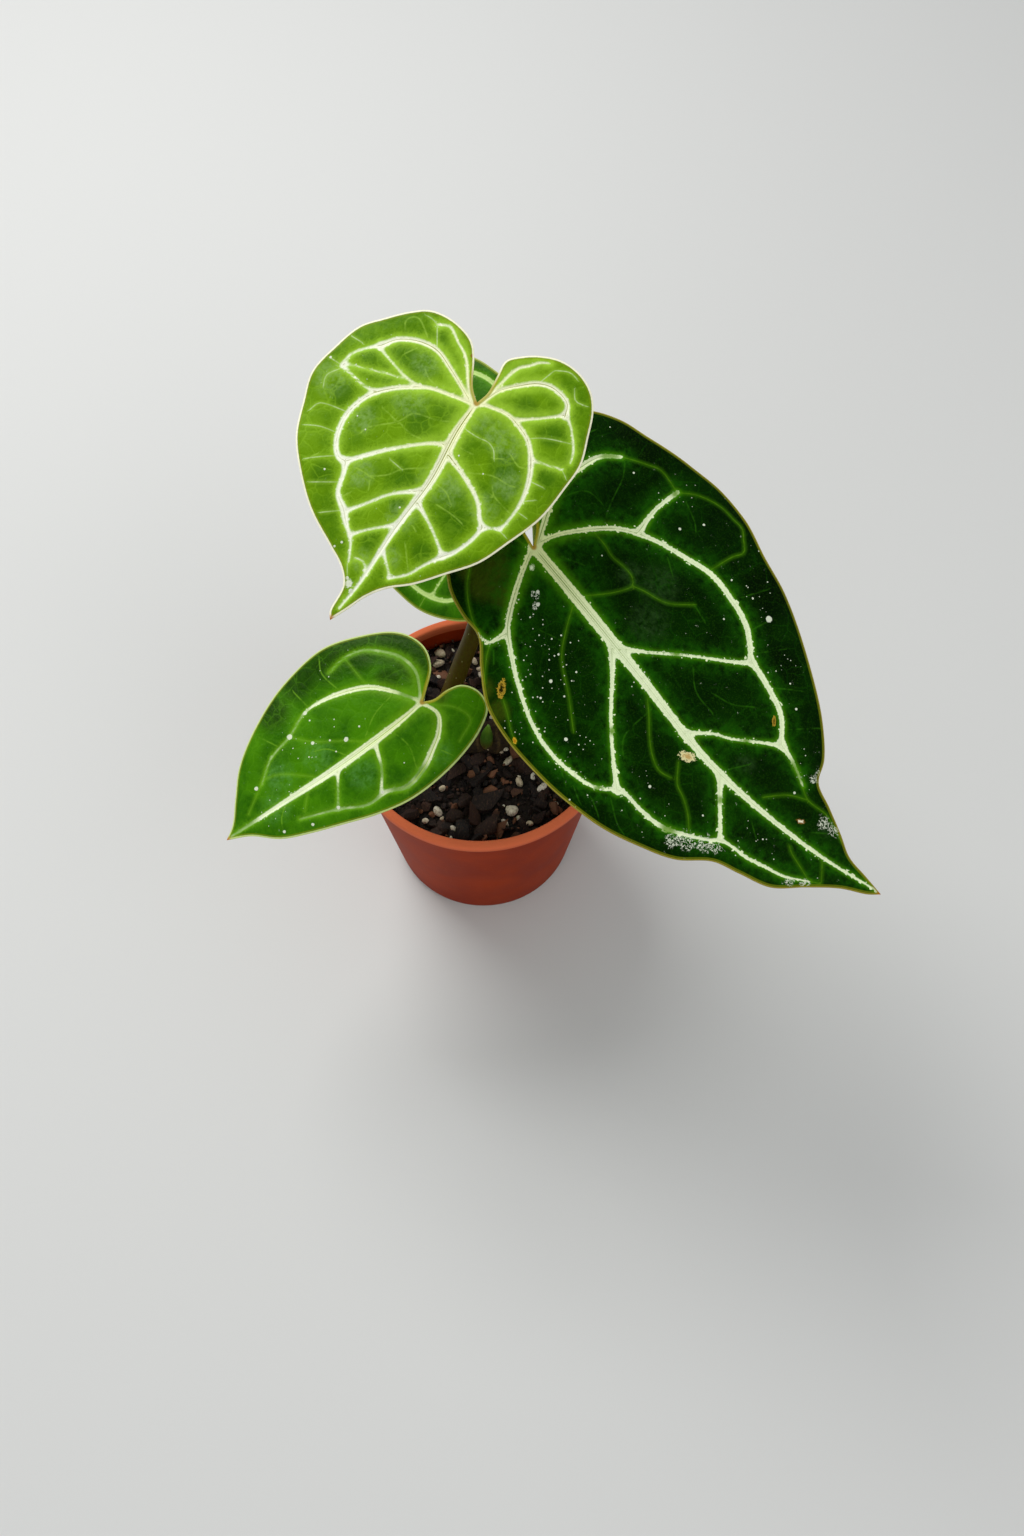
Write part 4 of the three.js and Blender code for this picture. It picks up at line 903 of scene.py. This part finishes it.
    # Dried spots, the rim, the joint and the tip
    torn = (finish.noise(plan, 0.7, 3, 0.7) - 0.5) * 2.2
    blemishes = []
    for u, v, turn, long, wide, ring, middle in leaf["blemishes"]:
        away = finish.oval(plan, (u, v, 1), turn, long, wide) + torn
        blemishes += [(away.falling(0.9, 1.1), ring), (away.falling(0.35, 0.7), middle)]
    rim = (edge + (ragged - 0.5) * 0.15).falling(leaf["hem"] - 0.12, leaf["hem"] + 0.12)
    inner = abs(edge - leaf["hem"] - 0.3).falling(0.1, 0.35)
    tip = finish.from_point(plan, leaf["midrib"][-1] + (1,))
    above = finish.coats(
        tissue,
        (pale, vein),
        (white * 0.9, "e4ead2"),
        *blemishes,
        (inner * 0.45, "8a9418"),
        (rim, leaf["margin"]),
        (edge.falling(0.5, 1.3) * joint.falling(6, 14) * 0.85, "a8a020"),
        (joint.falling(0.4, 1.3) * 0.75, "b08838"),
        (tip.falling(0.3, 2.2), "b8701c"))
    beneath = finish.coats(
        leaf["under"],
        (mottle * 0.5, leaf["body"]),
        (net.falling(0.02, 0.3) * 0.25, leaf["glow"]),
        (clear * 0.7, leaf["fresh"]),
        (rib.falling(-0.35, 0.6) * (0.8 - fading * 0.4), leaf["vein"]))
    height = (
        net.rising(0, 1.4) * 0.1 + fine_net.rising(0, 0.6) * 0.04 + grain * 0.05
        + mottle * 0.08 - grooves * 0.08 + pale * 0.04 + white * 0.06 + streaks * 0.03)
    roughness = leaf["gloss"] + (mottle - 0.5) * 0.22 + pale * 0.1 + white * 0.3
    return finish.surface(finish.coats(beneath, (upper, above)), roughness, height, 0.8)


# Pot

POT_RADIUS = 50
POT_HEIGHT = 90
POT_BASE = 36.9
POT_WALL = 1.5
POT_FLOOR = 1.8
POT_SIDES = 144
FLOOR_RING = 20
FOOT_RADIUS, FOOT_RISE = 33, 0.5
LIP_DROP = 3.8
LIP_OVERHANG = 2
LIP_WIDTH = 3.4
LIP_HEIGHT = POT_HEIGHT - LIP_DROP
DRAIN_HOLES, DRAIN_RADIUS, DRAIN_RING = 6, 4, 24
SOIL_LEVEL = 80
CLEARANCE = 0.35


def outer_radius(height):
    return POT_BASE + (POT_RADIUS - LIP_OVERHANG - POT_BASE) * height / LIP_HEIGHT


def inner_radius(height):
    return outer_radius(height) - POT_WALL


def rounding(centre_radius, centre_height, size, first, last, steps):
    """Profile points round an arc between two angles in degrees."""
    return [(centre_radius + size * math.cos(math.radians(turn)),
             centre_height + size * math.sin(math.radians(turn)))
            for turn in np.linspace(first, last, steps)]


def make_pot():
    # From the ring round the floor's middle, under the foot, up outside, over the lip and
    # down inside
    profile = [(FLOOR_RING, FOOT_RISE), (FOOT_RADIUS - FOOT_RISE, FOOT_RISE),
               (FOOT_RADIUS, 0), (POT_BASE - 1.4, 0)]
    profile += rounding(POT_BASE - 1.3, 1.4, 1.4, -80, 0, 4)
    profile += [(outer_radius(h), h) for h in (4, 12, 30, 50, 70, 82)]
    profile += [(outer_radius(LIP_HEIGHT) - 0.05, LIP_HEIGHT - 0.3),
                (outer_radius(LIP_HEIGHT) + 0.3, LIP_HEIGHT)]
    profile += rounding(POT_RADIUS - 0.7, LIP_HEIGHT + 0.75, 0.7, -80, 0, 3)
    profile += rounding(POT_RADIUS - 1.3, POT_HEIGHT - 1.3, 1.3, 0, 90, 6)
    profile += rounding(POT_RADIUS - LIP_WIDTH + 1.1, POT_HEIGHT - 1.1, 1.1, 95, 178, 6)
    profile += [(inner_radius(h), h) for h in (LIP_HEIGHT, 70, POT_FLOOR)]
    profile.append((FLOOR_RING, POT_FLOOR))
    first, *others = profile
    bpy.ops.mesh.primitive_circle_add(
        vertices=POT_SIDES, radius=first[0] * MM, location=(0, 0, first[1] * MM))
    pot = bpy.context.object
    pot.name = "nursery_pot"
    bpy.ops.object.transform_apply(location=True)
    with editing(pot):
        bpy.ops.mesh.edge_face_add()
        bpy.ops.mesh.select_mode(type="EDGE")
        bpy.ops.mesh.region_to_loop()
        for (radius, height), (wider, higher) in zip(profile, others):
            bpy.ops.mesh.extrude_edges_move(
                TRANSFORM_OT_translate={"value": (0, 0, (higher - height) * MM)})
            ratio = wider / radius
            bpy.ops.transform.resize(
                value=(ratio, ratio, 1), center_override=(0, 0, higher * MM))
        bpy.ops.mesh.edge_face_add()
        bpy.ops.mesh.select_all(action="SELECT")
        bpy.ops.mesh.normals_make_consistent(inside=False)
    for i in range(DRAIN_HOLES):
        turn = math.tau * (i + 0.5) / DRAIN_HOLES
        bpy.ops.mesh.primitive_cylinder_add(
            vertices=32, radius=DRAIN_RADIUS * MM, depth=10 * MM,
            location=(DRAIN_RING * MM * math.cos(turn), DRAIN_RING * MM * math.sin(turn), MM))
        drill = bpy.context.object
        add_modifier(pot, "BOOLEAN", operation="DIFFERENCE", object=drill, solver="EXACT")
        bpy.data.objects.remove(drill)
    add_modifier(pot, "BEVEL", width=0.25 * MM, segments=2, limit_method="ANGLE",
                 angle_limit=math.radians(60))
    finish_piece(pot, pot_finish(), "pot", "pot")


def pot_finish():
    finish = Finish("terracotta plastic", specular_ior_level=0.04, specular_tint="ffb088")
    place = finish.object_place()
    high = finish.parts(place)[2]
    cloud = finish.noise(place, 22 * MM, 4, 0.55)
    fine = finish.noise(place, 0.5 * MM, 3)
    speck = finish.noise(place, 1.6 * MM, 2)
    rings = finish.noise(finish.stretched(place, (0.02, 0.02, 1)), 0.7 * MM, 2)
    wear = finish.noise(finish.stretched(place, (1, 1, 0.25)), 3.5 * MM, 4, 0.7)
    lip = high.rising(85.9 * MM, 86.3 * MM)
    crown = high.rising(86.5 * MM, 89.8 * MM)
    dust = wear.rising(0.55, 0.8) * (0.15 + lip * 0.45)
    colour = finish.coats(
        "84270a",
        (cloud.rising(0.3, 0.7), "98330f"),
        (speck.rising(0.6, 0.8) * 0.2, "a8441c"),
        # Painted light on the rim: the lip lighter than the body, and its top lighter still.
        (lip * (0.55 + crown * 0.45), "e4744c"),
        (dust * 0.6, "cf8058"),
        (high.falling(0, 16 * MM) * cloud.rising(0.4, 0.65) * 0.35, "6a2a14"))
    return finish.surface(
        colour, 0.5 + dust * 0.25 + (cloud - 0.5) * 0.15,
        fine * 0.03 + rings * 0.04 + speck * 0.03, 0.6)


# Potting mix: a rough plug, bark chips, crumbs and white perlite half sunk in it

REACH = 45.0
MIX_SIDES, MIX_RINGS = 150, 56
PERLITE_COUNT, CHIP_COUNT, CRUMB_COUNT = 46, 330, 900
SEEN_PERLITE = [
    (11.6, -29.5, 3.1), (-16.1, 38.5, 2.0), (-17.4, 32.9, 2.2), (-16, -30.8, 1.6),
    (-9.2, -37.7, 1.5), (-6, -37.7, 1.5), (-20.4, -35, 1.3), (10.9, -8.5, 1.6),
    (14.6, -17.9, 1.4), (22.9, -21.6, 1.8), (-2.5, 34.8, 1.4), (18.7, -35.3, 1.2)]
STEM_SPOTS = [(x, 0.5 + 0.06 * x, 4.5) for x in range(-22, 23, 3)]


def soil_height(x, y):
    broad = np.sin(x * 0.13 + 1) * np.cos(y * 0.11 - 0.6)
    fine = np.sin(x * 0.61 + y * 0.23) * np.sin(y * 0.57 - x * 0.19 + 2)
    return SOIL_LEVEL + 1.1 * broad + 0.7 * fine


def make_mix():
    bottom = POT_FLOOR + CLEARANCE
    rim, foot = (inner_radius(height) - CLEARANCE for height in (SOIL_LEVEL, bottom))
    last_ring = MIX_RINGS - 2

    def shape(column, row):
        turn = math.tau * column / MIX_SIDES
        top = row <= last_ring
        radius = np.where(top, rim * row / last_ring, np.where(row < MIX_RINGS, foot, 0))
        x, y = radius * np.cos(turn), radius * np.sin(turn)
        crumbs = (
            0.5 * np.sin(1.9 * x + np.sin(1.3 * y)) * np.sin(2.1 * y + 1.7 * np.sin(1.1 * x))
            + 0.25 * np.sin(4.3 * x + 2.1 * y) * np.sin(3.7 * y - 1.9 * x))
        inside = np.clip((rim - radius) / 3, 0, 1)
        level = SOIL_LEVEL - 0.6 + inside * (soil_height(x, y) - SOIL_LEVEL + crumbs)
        return np.column_stack([x, y, np.where(top, level, bottom)]) * MM

    plug = sheet("bark_mix", MIX_SIDES, MIX_RINGS, shape)
    close_up(plug)
    finish_piece(plug, mix_finish(), "potting_mix", "potting_mix")


def mix_finish():
    finish = Finish("dark bark mix", specular_ior_level=0.3)
    place = finish.object_place()
    grain = finish.noise(place, 1.1 * MM, 4, 0.7)
    clump = finish.noise(place, 5 * MM, 3)
    lumps, _ = finish.cells(finish.warped(place, 2 * MM, 1.2 * MM), 1.5 * MM)
    colour = finish.coats(
        "0d0704",
        (clump.rising(0.35, 0.65), "1e120a"),
        (grain.rising(0.55, 0.8) * 0.6, "4a2f1e"))
    return finish.surface(
        colour, 0.95 - grain * 0.2, lumps.falling(0, 0.9 * MM) * 0.6 + grain * 0.5)


def make_ball(levels):
    bpy.ops.mesh.primitive_ico_sphere_add(subdivisions=levels, radius=1)
    return bpy.context.object


def make_block():
    bpy.ops.mesh.primitive_cube_add(size=1.5)
    block = bpy.context.object
    with editing(block):
        bpy.ops.mesh.subdivide(number_cuts=1, smoothness=0.55)
    return block


def knock(lump, flatness, roughness, draw):
    """A crumb of about unit size, knocked out of shape."""
    points = read_points(lump.data)
    for _ in range(7):
        toward = unit(np.array([draw.uniform(-1, 1) for _ in range(3)]))
        facing = np.clip(points @ toward, 0, None)[:, None]
        points = points + toward * facing ** 2 * draw.uniform(-1, 1) * roughness
    write_points(lump.data, points * (1, 1, flatness))
    return lump


def scatter(name, models, spots, draw, material, sink=0.0):
    """Copies of the models at (x, y, size) on the mix, joined into one piece."""
    copies = []
    for x, y, size in spots:
        model = draw.choice(models)
        copy = model.copy()
        copy.data = model.data.copy()
        bpy.context.collection.objects.link(copy)
        copy.location = (x * MM, y * MM, (soil_height(x, y) - sink * size) * MM)
        copy.rotation_euler = (
            draw.uniform(-0.7, 0.7), draw.uniform(-0.7, 0.7), draw.uniform(0, math.tau))
        copy.scale = (size * MM * draw.uniform(0.8, 1.5), size * MM, size * MM)
        store(copy.data, "tint", np.full(len(copy.data.vertices), draw.random()))
        copies.append(copy)
    pick(*copies)
    bpy.ops.object.join()
    piece = bpy.context.object
    piece.name = name
    bpy.ops.object.transform_apply(location=True, rotation=True, scale=True)
    for model in models:
        bpy.data.objects.remove(model)
    finish_piece(piece, material, "potting_mix")


def free_spots(count, sizes, draw, taken, reach=REACH):
    """Random places on the mix, clear of what is taken, with random sizes."""
    spots = []
    while len(spots) < count:
        radius, turn = reach * math.sqrt(draw.random()), draw.uniform(0, math.tau)
        x, y = radius * math.cos(turn), radius * math.sin(turn)
        size = sizes[0] + (sizes[1] - sizes[0]) * draw.random() ** 2
        if radius + size > reach + 1 or any(
                math.hypot(x - a, y - b) < 0.7 * (size + c) for a, b, c in taken):
            continue
        spots.append((x, y, size))
        taken.append((x, y, size * 0.8))
    return spots


def make_crumbs():
    draw = random.Random(4)
    taken = STEM_SPOTS + SEEN_PERLITE
    balls = [knock(make_ball(2), 0.75, 0.5, draw) for _ in range(3)]
    spots = SEEN_PERLITE + free_spots(PERLITE_COUNT, (0.7, 1.7), draw, taken)
    scatter("perlite", balls, spots, draw, perlite_finish())
    slabs = [knock(make_block(), draw.uniform(0.4, 0.65), 0.6, draw) for _ in range(5)]
    spots = free_spots(CHIP_COUNT, (1.2, 3.6), draw, taken)
    scatter("bark_chips", slabs, spots, draw, bark_finish(), 0.05)
    bits = [knock(make_ball(1), 0.7, 0.8, draw) for _ in range(3)]
    spots = free_spots(CRUMB_COUNT, (0.4, 1.0), draw, list(STEM_SPOTS), REACH + 0.8)
    scatter("bark_crumbs", bits, spots, draw, bark_finish(), -0.3)


def bark_finish():
    finish = Finish("bark chips", specular_ior_level=0.35)
    place = finish.object_place()
    tint = finish.attribute("tint")
    fibre = finish.noise(finish.stretched(place, (1, 0.35, 1)), 0.5 * MM, 4, 0.65)
    colour = finish.coats(
        "0e0704",
        (tint.rising(0.15, 0.95), "331b0e"),
        (tint.rising(0.66, 0.93) * 0.85, "7c5036"),
        (fibre.rising(0.5, 0.75) * 0.5, "684630"))
    return finish.surface(colour, 0.85 - fibre * 0.25, fibre * 0.35)


def perlite_finish():
    finish = Finish("perlite", specular_ior_level=0.3)
    place = finish.object_place()
    pores, _ = finish.cells(place, 0.45 * MM)
    stain = finish.noise(place, 1.4 * MM, 3, 0.6)
    colour = finish.coats(
        "efe6d4",
        (finish.attribute("tint"), "cdbb9c"),
        (stain.rising(0.5, 0.72) * 0.7, "7d5c40"))
    return finish.surface(
        colour, 0.8 + stain * 0.15, pores.rising(0, 0.25 * MM) * 0.22 + stain * 0.1)


# Round stems: stem, stalks and shoot

def tube(name, path, radius, sides=28, rings=120):
    """A closed round form along a smooth path. radius takes how far along and what turn."""
    centre = curve(path, rings)
    run = unit(np.gradient(centre, axis=0))
    normals = [unit(np.cross(run[0], (0.3, 1, 0.2)))]
    for direction in run[1:]:
        normals.append(unit(normals[-1] - direction * normals[-1].dot(direction)))
    normals = np.array(normals)
    binormals = np.cross(run, normals)
    length = np.linalg.norm(np.diff(centre, axis=0), axis=1).sum()

    def shape(column, row):
        turn = math.tau * column / sides
        along = row / rings
        size = radius(along, turn)
        blunt = np.minimum(along, 1 - along) * length / (0.8 * size)
        size = size * np.sqrt(np.clip(1 - (1 - np.clip(blunt, 0, 1)) ** 2, 0, 1))
        out = normals[row] * np.cos(turn)[:, None] + binormals[row] * np.sin(turn)[:, None]
        return (centre[row] + out * size[:, None]) * MM

    piece = sheet(name, sides, rings, shape)
    close_up(piece)
    places = read_points(piece.data) / MM
    gaps = np.linalg.norm(places[:, None] - centre[None], axis=2)
    store(piece.data, "along", gaps.argmin(axis=1) / rings)
    return piece


PAPERY = (84 * MM, 92 * MM)  # heights between which the dry foot of a stalk ends

# Path, radii from foot to joint, length of the neck, colours of foot, middle and top
STALKS = {
    "large": ([(11, 1, 78), (11, 3, 120), (13, 3.5, 165)], (3.2, 2.4, 2.5), 9,
              ("6c5418", "66681a", "74781e")),
    "young": ([(19, 2.5, 78), (21, 17, 130), (19.5, 36, 184), (11.5, 35.5, 219)],
              (2.3, 1.8, 2), 7, ("86802e", "8ba438", "a5bd4a")),
    "low": ([(-11, -3, 78), (-16, -12, 110)], (2.4, 1.9, 2), 8,
            ("644c14", "5a6c18", "76701c")),
    "back": ([(-19, -0.5, 78), (-7.3, 12.3, 112), (-0.4, 20, 133.5), (3.6, 31, 157)],
             (3.8, 3.1, 2.4), 3, ("4c3404", "524404", "58600a")),
}


def make_stalk(leaf):
    path, radii, neck, tones = STALKS[leaf["name"]]

    def under(depth):
        return on_blade(leaf, np.array([leaf["midrib"][0][0]]), np.array([0.0]), -depth)[0]

    top = under(BLADE / 2 + leaf["keel"] + CLEARANCE)
    below = top - leaf_axes(leaf)[3] * neck
    points = path + [tuple(below), tuple(top), tuple(under(0.5))]
    length = np.linalg.norm(np.diff(curve(points, 60), axis=0), axis=1).sum()

    def radius(along, turn):
        to_joint = (1 - along) * length
        knuckle = 0.14 * swell(to_joint - 6, 4.5)
        sheath = 0.34 * swell(along * length, 9)
        ridges = 0.018 * np.cos(5 * turn + 3 * along)
        narrowing = 0.62 + 0.38 * np.clip(to_joint / 6, 0, 1)
        return np.interp(along, (0, 0.5, 1), radii) * (1 + knuckle + sheath + ridges) * narrowing

    stalk = tube(f"{leaf['name']}_leaf_stalk", points, radius, 28, 130)
    finish_piece(stalk, stalk_finish(leaf["name"], *tones), "stalk", f"stalk_{leaf['name']}")


def stalk_finish(name, foot, middle, top):
    finish = Finish(f"{name} stalk", specular_ior_level=0.25, specular_tint="d8c890")
    place = finish.object_place()
    along = finish.attribute("along")
    streak = finish.noise(finish.stretched(place, (1, 1, 0.08)), 0.7 * MM, 3, 0.6)
    cloud = finish.noise(place, 6 * MM, 3)
    fleck, _ = finish.cells(finish.stretched(place, (1, 1, 0.4)), 1.7 * MM)
    high = finish.parts(place)[2] + (cloud - 0.5) * 9 * MM
    colour = finish.coats(
        foot,
        (along.rising(0, 0.45), middle),
        (along.rising(0.6, 1), top),
        (streak.rising(0.4, 0.7) * 0.4, top),
        (cloud.rising(0.45, 0.7) * 0.35, foot),
        (fleck.falling(0.12 * MM, 0.26 * MM) * 0.5, "c9c58a"),
        (high.falling(*PAPERY) * (0.45 + streak * 0.9), "3e2c16"))
    return finish.surface(colour, 0.42 + streak * 0.15, streak * 0.12 + cloud * 0.1, 0.8)


STEM_MIDDLE, STEM_RADIUS = (-1, 0.5, 79.5), 6.3
STEM_HALF, STEM_NODES, STEM_LEAN = 22.5, 6, 0.06


def make_stem():
    x, y, z = STEM_MIDDLE
    path = [(x + t * math.cos(STEM_LEAN), y + t * math.sin(STEM_LEAN), z)
            for t in np.linspace(-STEM_HALF, STEM_HALF, 7)]

    def radius(along, turn):
        ringed = 0.8 * np.abs(np.cos(math.pi * STEM_NODES * along)) ** 3
        taper = 0.72 + 0.28 * np.sqrt(np.clip(1 - (2 * along - 1) ** 8, 0, 1))
        knobs = 0.5 * np.sin(3 * turn + 11 * along) * np.sin(17 * along + turn)
        return (STEM_RADIUS + ringed + knobs) * taper

    stem = tube("creeping_stem", path, radius, 48, 150)
    finish_piece(stem, stem_finish(), "stem", "stem")


def stem_finish():
    finish = Finish("woody stem", specular_ior_level=0.3)
    place = finish.object_place()
    bark = finish.noise(finish.stretched(place, (0.5, 1, 1)), 1.2 * MM, 5, 0.65)
    cloud = finish.noise(place, 7 * MM, 3)
    rings = (finish.attribute("along") * STEM_NODES + (cloud - 0.5) * 0.5
             + (bark - 0.5) * 0.12).worked("FRACT")
    scar = abs(rings - 0.5).rising(0.37, 0.47) * bark.rising(0.3, 0.6)
    # Partly painted shade: the stem's own brown, darkened to near the mix's colour for the shade
    # of the leaves over it.
    colour = finish.coats(
        "1e140a",
        (cloud.rising(0.35, 0.65), "35260f"),
        (bark.rising(0.5, 0.75) * 0.5, "54401e"),
        (scar * 0.5, "64502c"))
    return finish.surface(colour, 0.75 + bark * 0.2, bark * 0.5 - scar * 0.2)


def make_shoot():
    def radius(along, turn):
        seam = 0.16 * swell(np.mod(turn - 5 * along, math.tau) - 1.5, 0.25)
        return np.interp(along, (0, 0.5, 1), (2.8, 2.2, 0.5)) * (1 - seam)

    shoot = tube("rolled_shoot", [(2, -2, 78), (2.6, -4.5, 92), (3.4, -8, 106)], radius, 40, 90)
    finish_piece(shoot, shoot_finish(), "shoot", "new_shoot")


def shoot_finish():
    finish = Finish("young shoot", specular_ior_level=0.45)
    along = finish.attribute("along")
    streak = finish.noise(
        finish.stretched(finish.object_place(), (1, 1, 0.1)), 0.6 * MM, 3)
    # Painted shade: the greens are darker than the shoot's own, for the shade of the leaves over
    # it.
    colour = finish.coats(
        "5a3e1c",
        (along.rising(0.1, 0.5), "3f6e14"),
        (along.rising(0.5, 1), "64921e"),
        (streak.rising(0.45, 0.7) * 0.3, "86ac4c"))
    return finish.surface(colour, 0.38 + streak * 0.15, streak * 0.12, 0.8)


for leaf in (LARGE, YOUNG, LOW, BACK):
    make_leaf(leaf)
make_pot()
make_mix()
make_crumbs()
make_stem()
make_shoot()
for leaf in (LARGE, YOUNG, LOW, BACK):
    make_stalk(leaf)
set_stage()
